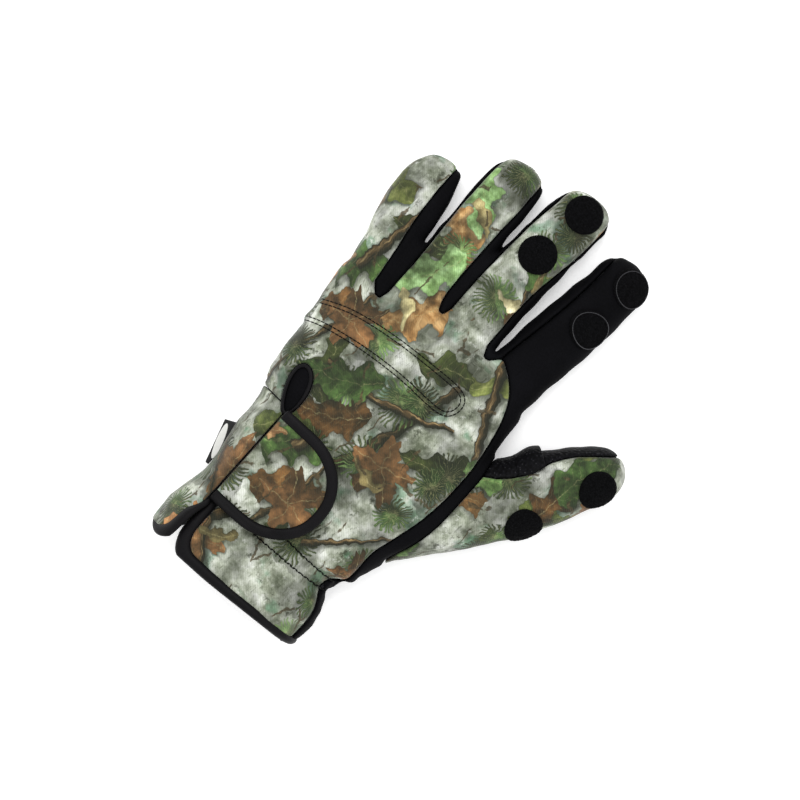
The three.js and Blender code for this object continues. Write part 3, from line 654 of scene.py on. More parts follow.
def top_heights():
    """Height of the glove's upper face over each column of the grid, spread to its neighbours."""
    zs = axis(LOW[2], HIGH[2], STEP)
    top = np.where(DISTANCE < 0, zs, -np.inf).max(axis=2)
    top = np.where(np.isfinite(top), top, 0)
    reach = int(9 / STEP)
    for k in (0, 1):
        top = np.max([np.roll(top, i, k) for i in range(-reach, reach + 1, 2)], axis=0)
    return blurred(top, 20)


TOP = top_heights()


def face_normals(points):
    """Direction away from the glove at each point, from the eased distance."""
    reach = 1.5
    slopes = [sample(points + reach * np.eye(3)[k]) - sample(points - reach * np.eye(3)[k])
              for k in range(3)]
    normal = np.stack(slopes, axis=1)
    return normal / (np.linalg.norm(normal, axis=1, keepdims=True) + 1e-6)


def write_print_places(piece, points, shift=(0.0, 0.0)):
    """Where the flat printed cloth lies on each point: the cloth unrolled from the top outwards."""
    normal = face_normals(points)
    column = points.copy()
    column[:, 2] = 0
    top = sample(column, np.repeat(TOP[:, :, None], 8, axis=2))
    drop = np.clip(top - points[:, 2], 0, None)
    flat = np.zeros_like(points)
    flat[:, :2] = points[:, :2] + normal[:, :2] * drop[:, None] + np.array(shift)
    attribute = piece.data.attributes.new("print_at", "FLOAT_VECTOR", "POINT")
    attribute.data.foreach_set("vector", flat.astype(np.float32).ravel())


def field_piece(name, field, low, step, slot, materials, shift=(0.0, 0.0), inner=None):
    """One piece of the glove, meshed from its field, with its own place in the print."""
    points, quads, _ = mesh_of(field, low, step)
    points, quads = largest(points, quads)
    quads = outward_faces(points, quads)
    piece = build_mesh(name + "_cloth", points, quads, materials)
    write_print_places(piece, points, shift)
    if inner is not None:
        depth = sample(points[quads].mean(axis=1)) < inner
        piece.data.polygons.foreach_set("material_index", depth.astype(np.int32))
    settle(piece, slot, name)


def settle(piece, slot, *nodes):
    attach(piece, "root")
    if nodes:
        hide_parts(*nodes)


def reach_of(node, margin=3.0):
    """The box of a CAD node in the hand's millimetres, with a margin."""
    low, high = (np.array(corner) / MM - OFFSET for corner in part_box(node))
    return low - margin, high + margin


# Materials

class Graph:
    """Short calls for building a material's nodes."""

    def __init__(self, name, **settings):
        self.material = bpy.data.materials.new(name)
        self.material.use_nodes = True
        self.tree = self.material.node_tree
        self.shader = self.tree.nodes["Principled BSDF"]
        for key, value in settings.items():
            self.shader.inputs[key.replace("_", " ")].default_value = value

    def put(self, socket, value):
        if isinstance(value, bpy.types.NodeSocket):
            self.tree.links.new(value, socket)
        else:
            socket.default_value = value

    def node(self, kind, inputs, **properties):
        node = self.tree.nodes.new(kind)
        for key, value in properties.items():
            setattr(node, key, value)
        for key, value in inputs.items():
            self.put(node.inputs[key], value)
        return node

    def math(self, operation, *values):
        return self.node("ShaderNodeMath", dict(enumerate(values)), operation=operation).outputs[0]

    def times(self, a, b):
        return self.math("MULTIPLY", a, b)

    def less(self, a, b):
        return self.math("SUBTRACT", a, b)

    def line(self, value, slope, start):
        return self.math("MULTIPLY_ADD", value, slope, start)

    def vector(self, operation, *values):
        return self.node("ShaderNodeVectorMath", dict(enumerate(values)), operation=operation).outputs[0]

    def step(self, value, low, high, to_low=0.0, to_high=1.0):
        """A smooth step from one level to another."""
        return self.node("ShaderNodeMapRange", {
            "Value": value, "From Min": low, "From Max": high, "To Min": to_low, "To Max": to_high,
        }, interpolation_type="SMOOTHSTEP").outputs[0]

    def scale(self, vector, by):
        return self.node("ShaderNodeVectorMath", {0: vector, "Scale": by}, operation="SCALE").outputs[0]

    def mix(self, share, a, b):
        return self.node("ShaderNodeMix", {0: share, 6: a, 7: b}, data_type="RGBA").outputs[2]

    def ramp(self, value, tones):
        node = self.node("ShaderNodeValToRGB", {0: value})
        ramp = node.color_ramp
        while len(ramp.elements) < len(tones):
            ramp.elements.new(1.0)
        for element, (place, tone) in zip(ramp.elements, tones):
            element.position = place
        for element, (place, tone) in zip(ramp.elements, tones):
            element.color = srgb(tone)
        return node.outputs[0]

    def noise(self, at, size, detail=3.0, roughness=0.55):
        """Noise whose lumps are about the given size in millimetres."""
        return self.node("ShaderNodeTexNoise", {
            "Vector": at, "Scale": 1 / size, "Detail": detail, "Roughness": roughness}).outputs[0]

    def millimetres(self):
        """Places on the object itself, in millimetres."""
        return self.scale(self.node("ShaderNodeTexCoord", {}).outputs["Object"], 1000.0)

    def split(self, vector):
        return self.node("ShaderNodeSeparateXYZ", {0: vector}).outputs

    def bump(self, height, depth):
        """Bump whose height runs to a depth in millimetres."""
        inputs = {"Height": height, "Distance": depth * MM, "Strength": 1.0}
        return self.node("ShaderNodeBump", inputs).outputs[0]

    def finish(self, colour, normal):
        self.put(self.shader.inputs["Base Color"], colour)
        self.put(self.shader.inputs["Normal"], normal)
        return self.material


def srgb(tone):
    """A linear colour from levels of 0 to 255 as a screen shows them."""
    linear = [((c / 255 + 0.055) / 1.055) ** 2.4 if c > 10 else c / 255 / 12.92 for c in tone]
    return (*linear, 1.0)


def leaf_shape(g, u, v, half, wide, lobes):
    """How far a place lies inside a leaf along u, and its veins."""
    along = g.math("DIVIDE", u, half)
    full = g.math("SQRT", g.math("MAXIMUM", g.less(1.0, g.times(along, along)), 0.0))
    wave = g.line(g.math("COSINE", g.times(along, lobes)), 0.24, 0.76)
    taper = g.line(along, -0.32, 0.9)
    width = g.times(g.times(full, wave), g.times(taper, wide))
    side = g.math("ABSOLUTE", v)
    past_tip = g.math("MAXIMUM", g.less(g.math("ABSOLUTE", u), half), 0.0)
    margin = g.less(g.less(width, side), past_tip)
    rib = g.step(side, 0.42, 0.08)
    slant = g.line(side, -0.9, u)
    stripe = g.math("PINGPONG", slant, 2.1)
    veins = g.times(g.step(stripe, 0.3, 0.04), 0.45)
    return margin, g.math("MAXIMUM", rib, veins)


def polar(g, u, v):
    squares = g.math("ADD", g.times(u, u), g.times(v, v))
    return g.math("ARCTAN2", v, u), g.math("SQRT", squares)


def star_shape(g, u, v, half, wide, lobes):
    """How far a place lies inside a leaf with five pointed lobes, and its veins."""
    angle, reach = polar(g, u, v)
    lobe = g.math("ABSOLUTE", g.math("COSINE", g.times(angle, 2.5)))
    teeth = g.times(g.math("COSINE", g.times(angle, lobes)), 0.09)
    radius = g.line(g.math("POWER", lobe, 1.4), half - wide, wide)
    radius = g.times(radius, g.math("ADD", 0.95, teeth))
    margin = g.less(radius, reach)
    off = g.math("ABSOLUTE", g.math("SINE", g.times(angle, 2.5)))
    rib = g.step(g.times(off, reach), 0.9, 0.3)
    return margin, rib


def needle_shape(g, u, v, half, wide, lobes):
    """How far a place lies inside a tuft of thin needles."""
    angle, reach = polar(g, u, v)
    off = g.math("ABSOLUTE", g.math("SINE", g.times(angle, lobes)))
    away = g.math("DIVIDE", g.times(off, reach), lobes)
    thin = g.less(wide, away)
    return g.math("MINIMUM", thin, g.less(half, reach)), g.step(away, 0.3, 0.0)


def scatter(g, print_, below, shape, cell, offset, half, wide, lobes, tones, share, shade=0.6):
    """One scattered layer of leaves printed over a colour."""
    moved = g.vector("ADD", print_["bent"], offset)
    cells = g.node("ShaderNodeTexVoronoi", {
        "Vector": moved, "Scale": 1 / cell, "Randomness": 0.6}, voronoi_dimensions="2D")
    red, green, blue = g.split(cells.outputs["Color"])
    away = g.vector("SUBTRACT", moved, cells.outputs["Position"])
    turned = g.node("ShaderNodeVectorRotate", {
        "Vector": away, "Angle": g.times(red, 2 * math.pi)}, rotation_type="Z_AXIS").outputs[0]
    u, v, _ = g.split(turned)
    curve = g.line(g.times(u, u), 0.22 / half, v)
    margin, rib = shape(g, u, curve, half, wide, lobes)
    here = g.step(blue, share - 0.01, share + 0.01, 1.0, 0.0)
    mask = g.times(g.step(margin, -0.1, 0.35), here)
    lee = g.node("ShaderNodeVectorMath", {0: away, 1: (0.5 / half, -0.9 / half, 0)}, operation="DOT_PRODUCT")
    cast = g.line(lee.outputs["Value"], 2.4, margin)
    halo = g.times(g.step(cast, -2.8, 1.2), g.times(here, shade))
    below = g.mix(halo, below, srgb((20, 21, 14)))
    swing = g.line(green, 0.5, g.times(print_["mottle"], 0.5))
    tone = g.ramp(swing, tones)
    fold = g.line(curve, 0.5 / wide, g.line(print_["mottle"], 1.5, -0.75))
    light = g.step(fold, -0.6, 0.45, 0.5, 1.45)
    light = g.times(light, g.step(margin, 0.0, 1.1, 0.66, 1.0))
    light = g.times(light, g.line(print_["fine"], 0.7, 0.65))
    lit = g.scale(tone, light)
    vein = g.times(rib, g.step(print_["fine"], 0.4, 0.6, 0.08, 0.3))
    lit = g.mix(vein, lit, srgb((196, 190, 146)))
    return g.mix(mask, below, lit)


def branch(g, print_, below, x, y, angle, half_length, half_width, bend):
    """One printed branch, round-lit with bark along it."""
    local = g.node("ShaderNodeVectorRotate", {
        "Vector": g.vector("SUBTRACT", print_["bent"], (x, y, 0)), "Angle": math.radians(-angle)},
        rotation_type="Z_AXIS").outputs[0]
    u, v, _ = g.split(local)
    share = g.math("DIVIDE", u, half_length)
    off = g.less(v, g.times(g.times(share, share), bend))
    width = g.line(share, -0.4 * half_width, half_width)
    width = g.times(width, g.line(print_["mottle"], 0.8, 0.6))
    margin = g.less(width, g.math("ABSOLUTE", off))
    margin = g.math("MINIMUM", margin, g.less(half_length, g.math("ABSOLUTE", u)))
    across = g.math("DIVIDE", off, width)
    lit = g.times(g.step(across, -0.9, 0.5), g.step(across, 1.1, 0.6))
    bark = g.noise(g.vector("MULTIPLY", local, (0.22, 1.5, 1)), 1.5)
    tone = g.ramp(g.line(bark, 0.85, g.line(lit, 0.5, -0.3)), [
        (0.1, (14, 13, 8)), (0.36, (46, 37, 25)), (0.58, (92, 74, 50)), (0.85, (178, 158, 118))])
    sunny = g.math("MINIMUM", g.math("MAXIMUM", across, -1.5), 1.5)
    cast = g.line(sunny, -0.7, margin)
    below = g.mix(g.times(g.step(cast, -2.2, 0.8), 0.7), below, srgb((18, 19, 13)))
    return g.mix(g.step(margin, -0.12, 0.2), below, tone)


def print_fields(g):
    """What every printed layer shares: its place on the cloth, bent a little, and noise over it."""
    at = g.node("ShaderNodeAttribute", {}, attribute_name="print_at").outputs["Vector"]
    bends = [(8.0, 6.5), (2.0, 1.5)]
    bent = at
    for size, reach in bends:
        lumps = g.node("ShaderNodeTexNoise", {"Vector": at, "Scale": 1 / size, "Detail": 1.0})
        centred = g.vector("SUBTRACT", lumps.outputs["Color"], (0.5, 0.5, 0.5))
        bent = g.vector("ADD", bent, g.vector("MULTIPLY", centred, (reach, reach, 0)))
    return {"at": at, "bent": bent, "mottle": g.noise(at, 6.0, 3.0, 0.6), "fine": g.noise(at, 1.6, 3.0, 0.7)}


def bark_ground(g, print_):
    """Pale lichen-grown bark, the ground of the print."""
    at = print_["at"]
    patches = g.noise(at, 15.0, 5.0, 0.65)
    ground = g.ramp(patches, [
        (0.34, (92, 98, 82)), (0.43, (140, 145, 130)), (0.52, (176, 180, 168)), (0.64, (206, 208, 202))])
    teal = g.step(g.noise(g.vector("ADD", at, (60, 20, 0)), 20.0, 3.0), 0.54, 0.64)
    ground = g.mix(g.times(teal, 0.6), ground, srgb((92, 134, 108)))
    grain = g.noise(g.vector("MULTIPLY", at, (1.0, 0.3, 1)), 1.6, 4.0, 0.75)
    ground = g.mix(g.step(grain, 0.52, 0.7, 0.0, 0.6), ground, srgb((86, 90, 76)))
    pale = g.step(g.noise(g.vector("ADD", at, (9, 70, 0)), 4.5, 4.0, 0.7), 0.56, 0.7, 0.0, 0.7)
    ground = g.mix(pale, ground, srgb((208, 210, 204)))
    blots = g.noise(g.vector("ADD", at, (33, 5, 0)), 9.0, 5.0, 0.72)
    return g.mix(g.step(blots, 0.56, 0.68, 0.0, 0.8), ground, srgb((46, 50, 36)))


def twigs(g, print_, below):
    """Fine crossing twigs, broken here and there."""
    web = g.node("ShaderNodeTexVoronoi", {
        "Vector": g.vector("MULTIPLY", print_["bent"], (1.0, 0.45, 1)), "Scale": 1 / 24, "Randomness": 0.9},
        voronoi_dimensions="2D", feature="DISTANCE_TO_EDGE").outputs["Distance"]
    broken = g.step(g.noise(g.vector("ADD", print_["at"], (80, 3, 0)), 12.0, 2.0), 0.5, 0.54)
    line = g.times(g.step(web, 0.022, 0.012), broken)
    tone = g.ramp(print_["fine"], [(0.35, (44, 36, 24)), (0.6, (98, 82, 58))])
    return g.mix(g.times(line, 0.85), below, tone)


GREENS = [(0.2, (42, 60, 30)), (0.42, (84, 110, 60)), (0.6, (124, 154, 98)), (0.8, (168, 196, 150))]
OLIVES = [(0.2, (34, 40, 18)), (0.45, (72, 82, 42)), (0.65, (112, 120, 68)), (0.85, (162, 164, 112))]
BROWNS = [(0.2, (52, 34, 18)), (0.42, (106, 78, 46)), (0.62, (150, 116, 74)), (0.85, (200, 176, 134))]
RUSTS = [(0.2, (66, 46, 28)), (0.42, (126, 94, 62)), (0.62, (170, 130, 90)), (0.85, (212, 190, 146))]
TANS = [(0.2, (84, 76, 50)), (0.45, (134, 122, 84)), (0.7, (182, 174, 134)), (0.85, (214, 208, 180))]
NEEDLES = [(0.2, (20, 36, 16)), (0.5, (50, 76, 38)), (0.75, (112, 142, 88))]


# Drawn one over another. scatter: shape, cell, offset, half length, half width, lobes, tones, share, shade.
# branch: across, along, angle, half length, half width, bend.
PRINT_LAYERS = [
    (scatter, leaf_shape, 38.0, (11, 5, 0), 19.0, 9.5, 9.0, OLIVES, 0.45),
    (branch, -6, 66, 66, 88, 3.0, 10),
    (branch, 34, 158, 118, 74, 2.6, -9),
    (scatter, leaf_shape, 43.0, (71, 35, 0), 20.0, 11.5, 10.0, BROWNS, 0.5),
    (branch, -46, 128, 74, 60, 1.5, 6),
    (scatter, needle_shape, 33.0, (31, 57, 0), 12.0, 0.6, 13.0, NEEDLES, 0.5, 0.4),
    (scatter, needle_shape, 27.0, (52, 8, 0), 10.0, 0.6, 12.0, NEEDLES, 0.45, 0.4),
    (branch, 0, 118, 14, 34, 1.9, 5),
    (scatter, leaf_shape, 46.0, (83, 29, 0), 22.0, 12.0, 11.0, GREENS, 0.5),
    (branch, 44, 70, 34, 40, 1.3, -4),
    (scatter, star_shape, 45.0, (7, 91, 0), 18.0, 9.0, 17.5, RUSTS, 0.36),
    (branch, -34, 34, 128, 44, 1.0, 4),
    (branch, -48, 192, 82, 34, 2.3, 3),
    (scatter, leaf_shape, 31.0, (57, 73, 0), 10.0, 4.6, 7.0, TANS, 0.24, 0.4),
]


def camouflage():
    """A generic woodland print of bark, branches, leaves and needles on stretch knit."""
    g = Graph("camouflage", Roughness=0.85, Specular_IOR_Level=0.12, Sheen_Weight=0.22, Sheen_Roughness=0.4)
    print_ = print_fields(g)
    colour = bark_ground(g, print_)
    for draw, *sizes in PRINT_LAYERS:
        colour = draw(g, print_, colour, *sizes)
    colour = twigs(g, print_, colour)
    light = g.noise(g.vector("ADD", print_["at"], (17, 41, 0)), 19.0, 3.0, 0.6)
    dapple = g.step(light, 0.34, 0.66, 0.53, 1.62)
    colour = g.node("ShaderNodeGamma", {"Color": colour, "Gamma": 1.2}).outputs[0]
    colour = g.scale(colour, dapple)
    colour = g.mix(0.12, colour, srgb((104, 110, 92)))
    twill = g.node("ShaderNodeTexWave", {
        "Vector": print_["at"], "Scale": 0.42, "Distortion": 0.8, "Detail": 1.0, "Detail Scale": 2.0},
        wave_type="BANDS", bands_direction="DIAGONAL").outputs["Fac"]
    colour = g.mix(g.times(twill, 0.16), colour, srgb((70, 72, 62)))
    return g.finish(colour, g.bump(twill, 0.1))


def black_cloth(name, tone, grain, depth, **settings):
    """Black stretch cloth with a fine grain of a size in millimetres."""
    g = Graph(name, **settings)
    at = g.millimetres()
    fine = g.noise(at, grain, 2.0)
    broad = g.noise(at, 26.0, 3.0)
    dark = tuple(c * 0.55 for c in tone)
    light = tuple(min(255, c * 1.5) for c in tone)
    colour = g.ramp(g.line(broad, 0.6, g.times(fine, 0.4)), [
        (0.3, dark), (0.5, tone), (0.72, light)])
    return g.finish(colour, g.bump(fine, depth))


def pebbled(name, tone, grain, depth, lit, **settings):
    """Black grip fabric with small rounded pebbles, their tops painted lighter as a painted highlight."""
    g = Graph(name, **settings)
    at = g.millimetres()
    cells = g.node("ShaderNodeTexVoronoi", {"Vector": at, "Scale": 1 / grain, "Randomness": 0.7},
                   feature="SMOOTH_F1").outputs["Distance"]
    # The colour ramp paints a highlight on each pebble's top and painted shade, almost black, in the gaps
    # between the pebbles.
    colour = g.ramp(cells, [(0.06, lit), (0.2, tuple(c * 1.6 for c in tone)), (0.45, tone), (0.8, (3, 3, 3))])
    return g.finish(colour, g.bump(g.less(1.0, cells), depth))


def label_cloth():
    """A bare black woven tag with an empty pale oval."""
    g = Graph("label_cloth", Roughness=0.7)
    at = g.millimetres()
    u, v, _ = g.split(g.vector("SUBTRACT", at, tuple(OFFSET)))
    up = g.less(v, TAG_AT[1])
    out = g.less(u, TAG_AT[0] - 0.14 * TAG_REACH)
    across = g.math("DIVIDE", g.line(up, 0.32, out), 0.28 * TAG_REACH)
    along = g.math("DIVIDE", up, 0.36 * TAG_LENGTH)
    reach = g.math("ADD", g.times(across, across), g.times(along, along))
    thread = g.noise(at, 0.5)
    colour = g.mix(g.step(reach, 1.05, 0.95), srgb((16, 16, 18)), srgb((232, 232, 228)))
    return g.finish(colour, g.bump(thread, 0.1))


CAMOUFLAGE = camouflage()
NEOPRENE = black_cloth("black_neoprene", (10, 10, 12), 0.9, 0.12, Roughness=0.7, Specular_IOR_Level=0.03)
LINING = black_cloth("lining", (40, 40, 42), 1.2, 0.15, Roughness=0.95, Specular_IOR_Level=0.1)
TAPE = black_cloth("edge_tape", (12, 11, 13), 0.6, 0.12, Roughness=0.5, Specular_IOR_Level=0.09)
THREAD = black_cloth("thread", (8, 8, 7), 0.3, 0.05, Roughness=0.6, Specular_IOR_Level=0.1)
GRIP = pebbled("grip_fabric", (11, 11, 13), 1.4, 0.5, (62, 62, 64), Roughness=0.5, Specular_IOR_Level=0.05)
PILE = pebbled("hook_pile", (8, 8, 9), 0.9, 0.6, (22, 22, 23), Roughness=0.9, Specular_IOR_Level=0.04)
SEAM_RING = black_cloth("seam_ring", (58, 58, 60), 0.4, 0.05, Roughness=0.8, Specular_IOR_Level=0.05)
LABEL = label_cloth()


# Pieces of the glove's wall

def within(outline):
    return lambda x, y, z: outline_distance(outline, x, y)


def clear_of(outline):
    return lambda x, y, z: -outline_distance(outline, x, y)


def above_seam(x, y, z):
    return z - SIDE_SEAM


def below_seam(x, y, z):
    return SIDE_SEAM - z


def past(height):
    return lambda x, y, z: y - height


def least(limits, x, y, z):
    """How far a place lies inside all limits at once."""
    inside = limits[0](x, y, z)
    for limit in limits[1:]:
        inside = np.minimum(inside, limit(x, y, z))
    return inside


SEAM_GAP = 0.15


def wall_piece(name, limits, slot, materials, step, edge=2.0, shift=(0.0, 0.0), lift=None, grain=1.0):
    """A cut piece of the glove's wall whose edges roll into the seams."""
    low, high = reach_of(name)
    field, x, y, z = resample(low, high, step)
    if lift is not None:
        field = field - lift(x, y)
    outer = smooth_max(field - grain * relief(x, y, z), SEAM_GAP - least(limits, x, y, z), edge)
    inner = None if lift is not None else -0.6 * WALL
    field_piece(name, np.maximum(outer, -(field + WALL)), low, step, slot, materials, shift, inner)


def eased_step(value, low, high):
    share = np.clip((value - low) / (high - low), 0, 1)
    return share * share * (3 - 2 * share)


def strap_lift(x, y):
    """How far the strap stands off the hand: it leaves the wall at the left and at its upper end."""
    rise = eased_step(x, STRAP_ROOT_X, SLIT_X) * eased_step(y, SLIT_TOP, SLIT_TOP - STRAP_EASE)
    return (STRAP_LIFT + STRAP_THICKNESS) * rise


TIP_OUTLINES = {}
for name, along in TIP_SPLIT.items():
    start = CUFF_TO_KNUCKLE + along * FINGER_LENGTH[name]
    centre = finger_x(name, 0.9)
    half = FINGER_WIDTH[name] / 2 + WALL
    TIP_OUTLINES[name] = [(centre - half, start), (centre + half, start), (centre + half, ABOVE),
                          (centre - half, ABOVE)]


def thumb_black(x, y, z):
    """The thumb's black side and its underside."""
    return np.maximum(outline_distance(THUMB_SIDE, x, y), SIDE_SEAM - z)


def thumb_span(start, end):
    def inside(x, y, z):
        s, t = to_thumb(x, y)
        return np.minimum(t - start, end - t)
    return inside


def build_wall():
    camouflage_faces = [CAMOUFLAGE, LINING]
    black_faces = [NEOPRENE, LINING]
    grip_faces = [GRIP, LINING]
    wall_piece("back_panel", [
        above_seam, *(clear_of(outline) for outline in FOURCHETTES.values()), clear_of(INDEX_OUTLINE),
        clear_of(THUMB_OUTLINE), clear_of(STRAP_OUTLINE), clear_of(SLIT_SIDE), clear_of(CUFF_OUTLINE),
        clear_of(vent_outline(VENT_TAPE)),
    ], "printed_neoprene", camouflage_faces, 0.9)
    for name, outline in FOURCHETTES.items():
        wall_piece(name, [above_seam, within(outline), clear_of(INDEX_OUTLINE)], "black_neoprene",
                   black_faces, 0.75)
    wall_piece("index_panel", [
        above_seam, within(INDEX_OUTLINE), clear_of(THUMB_OUTLINE), clear_of(CUFF_OUTLINE),
    ], "black_neoprene", black_faces, 0.75)
    wall_piece("palm_panel", [
        below_seam, past(CUFF_TAPE), clear_of(THUMB_OUTLINE), clear_of(NOTCH),
        *(clear_of(outline) for outline in TIP_OUTLINES.values()),
    ], "black_neoprene", black_faces, 1.2, edge=1.0)
    for name, outline in TIP_OUTLINES.items():
        grown = [(x, y - TIP_GROWTH if y < ABOVE else y) for x, y in outline]
        wall_piece(f"{name}_tip_grip", [below_seam, within(grown)], "grip_fabric", grip_faces, 0.8, edge=1.0)
    wall_piece("thumb_shell", [above_seam, within(THUMB_OUTLINE), clear_of(THUMB_SIDE)],
               "printed_neoprene", camouflage_faces, 0.75, shift=(31, -47))
    for name, start, end in (("thumb_grip", -FAR, THUMB_SEAM_AT + TIP_OVERLAP),
                             ("thumb_tip_grip", THUMB_SEAM_AT - TIP_OVERLAP, FAR)):
        wall_piece(name, [thumb_black, within(THUMB_OUTLINE), thumb_span(start, end)], "grip_fabric",
                   grip_faces, 0.75, edge=1.2)
    wall_piece("strap_base", [above_seam, within(STRAP_OUTLINE),
                              lambda x, y, z: 1.2 - outline_distance(STRAP_TAPE, x, y),
                              clear_of(vent_outline(VENT_TAPE))],
               "printed_neoprene", [CAMOUFLAGE], 0.6, edge=1.4, lift=strap_lift)


def layer_piece(name, plan, low_off, high_off, slot, material, edge=1.5, relief_share=0.0, lift=None,
                shift=(0.0, 0.0)):
    """A piece laid over the glove between two distances from it, over a plan seen from above."""
    low, high = reach_of(name, 4.0)
    field, x, y, z = resample(low, high, FINE_STEP)
    if lift is not None:
        field = field - lift(x, y)
    if relief_share:
        field = field - relief_share * relief(x, y, z)
    middle = (low_off + high_off) / 2
    half = (high_off - low_off) / 2
    body = smooth_max(np.abs(field - middle) - half, -plan(x, y, z), edge)
    field_piece(name, body, low, FINE_STEP, slot, [material], shift)


def rolled_tape(name, plan, middle, half_width, half_thick, limit):
    """A folded tape of rounded section that follows an edge seen from above, up to a limit."""
    low, high = reach_of(name, 4.0)
    field, x, y, z = resample(low, high, FINE_STEP)
    off = np.abs(plan(x, y, z) - half_width) / half_width
    rise = np.abs(field - middle) / half_thick
    body = ((off ** 2.6 + rise ** 2.6) ** (1 / 2.6) - 1) * half_thick
    field_piece(name, smooth_max(body, -limit(x, y, z), 1.0), low, FINE_STEP, "edge_tape", [TAPE])


def build_overlays():
    over = STRAP_LIFT + STRAP_THICKNESS
    tab = tab_outline(TAB_BINDING - 1.0, -FAR)
    layer_piece("strap_tab", lambda x, y, z: np.minimum(outline_distance(tab, x, y), x - TAB_X + 0 * y),
                over - STRAP_THICKNESS, over + 0.4, "printed_neoprene", CAMOUFLAGE, edge=2.5,
                relief_share=0.6, shift=(-37, 83))
    rolled_tape("tab_binding", within(tab_outline(0, -FAR)), over - 1.0, TAB_BINDING / 2, 2.1,
                lambda x, y, z: x - TAB_X)
    layer_piece("strap_binding", lambda x, y, z: np.minimum(np.minimum(
        outline_distance(rounded(STRAP_TAPE, 2, True), x, y), y - 1.8 - 0.09 * (x + 41) ** 2), z - SIDE_SEAM),
        -WALL - 0.7, 1.0, "edge_tape", TAPE, edge=3.0, lift=strap_lift)
    layer_piece("cuff_binding", cuff_plan, -WALL - 1.0, 1.1, "edge_tape", TAPE, edge=3.0)
    vent = vent_outline(0)
    layer_piece("vent_gusset", within(vent_outline(1.0)), -WALL - 0.6, -0.5, "black_neoprene", NEOPRENE)
    layer_piece("vent_binding", lambda x, y, z: np.minimum(
        -outline_distance(vent, x, y), outline_distance(vent_outline(VENT_TAPE), x, y)),
        -WALL, 0.8, "edge_tape", TAPE, edge=0.9)


def cuff_plan(x, y, z):
    """The cuff's tape: along the slit and the cuff's edge above, and along the edge below."""
    lowest = 1.2 + 2.0 * eased_step(x, -14, 30)
    upright = np.minimum(outline_distance(rounded(CUFF_OUTLINE, 2, True), x, y - 0.7 * lowest), y - lowest)
    upright = np.minimum(upright, z - SIDE_SEAM + 3)
    under = np.minimum(np.minimum(CUFF_TAPE - y, y - 0.4), SIDE_SEAM - z) + 0 * x
    under = np.minimum(under, -outline_distance(NOTCH, x, y))
    return np.minimum(np.maximum(upright, under), z)


def dot_field(field, x, y, z, centre, direction):
    """A round pad pressed onto the cloth, along its own axis."""
    offset = [x - centre[0], y - centre[1], z - centre[2]]
    along = sum(o * d for o, d in zip(offset, direction))
    away = np.sqrt(np.clip(sum(o * o for o in offset) - along ** 2, 0, None))
    ripple = 0.12 * np.sin(2.3 * x + 1.1) * np.sin(2.1 * y) + 0.1 * np.sin(4.1 * x + 3.3 * y)
    slab = np.abs(field - 0.2 - DOT_THICKNESS / 2 - ripple) - DOT_THICKNESS / 2
    return smooth_max(smooth_max(slab, away - DOT_DIAMETER / 2 - 0.5 * ripple, 1.4), -(along + 8), 0.5)


def ring_on_dot(centre, direction, reach):
    """A ring of places on a dot's face, each found along the dot's own axis."""
    axle = np.array(direction)
    side = np.cross((0.0, 1.0, 0.0), axle)
    turns = np.linspace(0, 2 * math.pi, 48, endpoint=False)[:, None]
    rim = np.array(centre) + reach * (np.cos(turns) * side + np.sin(turns) * np.cross(axle, side))
    rises = np.arange(-8.0, 8.0, 0.05)
    places = rim[:, None] + rises[None, :, None] * axle
    away = sample(places.reshape(-1, 3)).reshape(len(rim), len(rises))
    first = np.argmax(away > DOT_THICKNESS + 0.35, axis=1)
    return rim + rises[first][:, None] * axle


def build_dots():
    for row in DOTS:
        name = f"dot_{row['finger']}_{row['end']}"
        x, y = dot_place(row)
        tilt = math.radians(row["tilt"])
        splay = THUMB_SPLAY if row["finger"] == "thumb" else 0.0
        direction = (math.sin(tilt) * math.cos(splay), -math.sin(tilt) * math.sin(splay), math.cos(tilt))
        centre = (x, y, sample(np.array([[x, y, 0.0]]), HEIGHTS)[0])
        low, high = reach_of(name, 6.0)
        field, gx, gy, gz = resample(low, high, FINE_STEP)
        body = dot_field(field, gx, gy, gz, centre, direction)
        field_piece(name, body, low, FINE_STEP, "hook_and_loop", [PILE])
        if row["finger"] == "index":
            ring = ring_on_dot(centre, direction, DOT_DIAMETER / 2 - 0.9)
            thread_mesh(f"{name}_ring", ring, np.roll(ring, -1, axis=0), 0.22, SEAM_RING, "hook_and_loop")


def build_flap():
    """The hem of the thumb's fold-back tip: it thickens towards the fold and ends there in a step."""
    start, end = THUMB_FOLD_AT - HEM_LENGTH, THUMB_FOLD_AT
    band = from_thumb([(-THUMB_WIDTH, start)] + thumb_edge(start, end, 8) + [(-THUMB_WIDTH, end)])
    low, high = reach_of("thumb_flap", 4.0)
    field, x, y, z = resample(low, high, FINE_STEP)
    s, t = to_thumb(x, y)
    proud = 0.3 + HEM_RISE * eased_step(t, start, end - 3)
    slab = np.abs(field - proud / 2) - proud / 2
    inside = np.minimum(outline_distance(band, x, y), z - SIDE_SEAM)
    field_piece("thumb_flap", smooth_max(slab, -inside, 0.6), low, FINE_STEP, "grip_fabric", [GRIP])


def build_tag():
    x, y = TAG_AT
    half = TAG_LENGTH / 2
    outline = [(x - 0.94 * TAG_REACH, y + 0.79 * half), (x - 0.11 * TAG_REACH, y + half),
               (x + WALL, y + half), (x + WALL, y - half), (x + 0.1 * TAG_REACH, y - half)]
    low, high = reach_of("label_tag", 2.5)
    field, gx, gy, gz = resample(low, high, 0.3)
    middle = SIDE_SEAM + WALL + TAG_THICKNESS / 2 + 0.05 * (x - gx)
    slab = np.abs(gz - middle) - TAG_THICKNESS / 2
    body = smooth_max(slab, -outline_distance(outline, gx, gy) + 0 * gz, 0.5)
    body = np.maximum(body, 0.2 - field)
    field_piece("label_tag", body, low, 0.3, "label", [LABEL])


# Stitches: short threads that lie on the cloth along a line seen from above

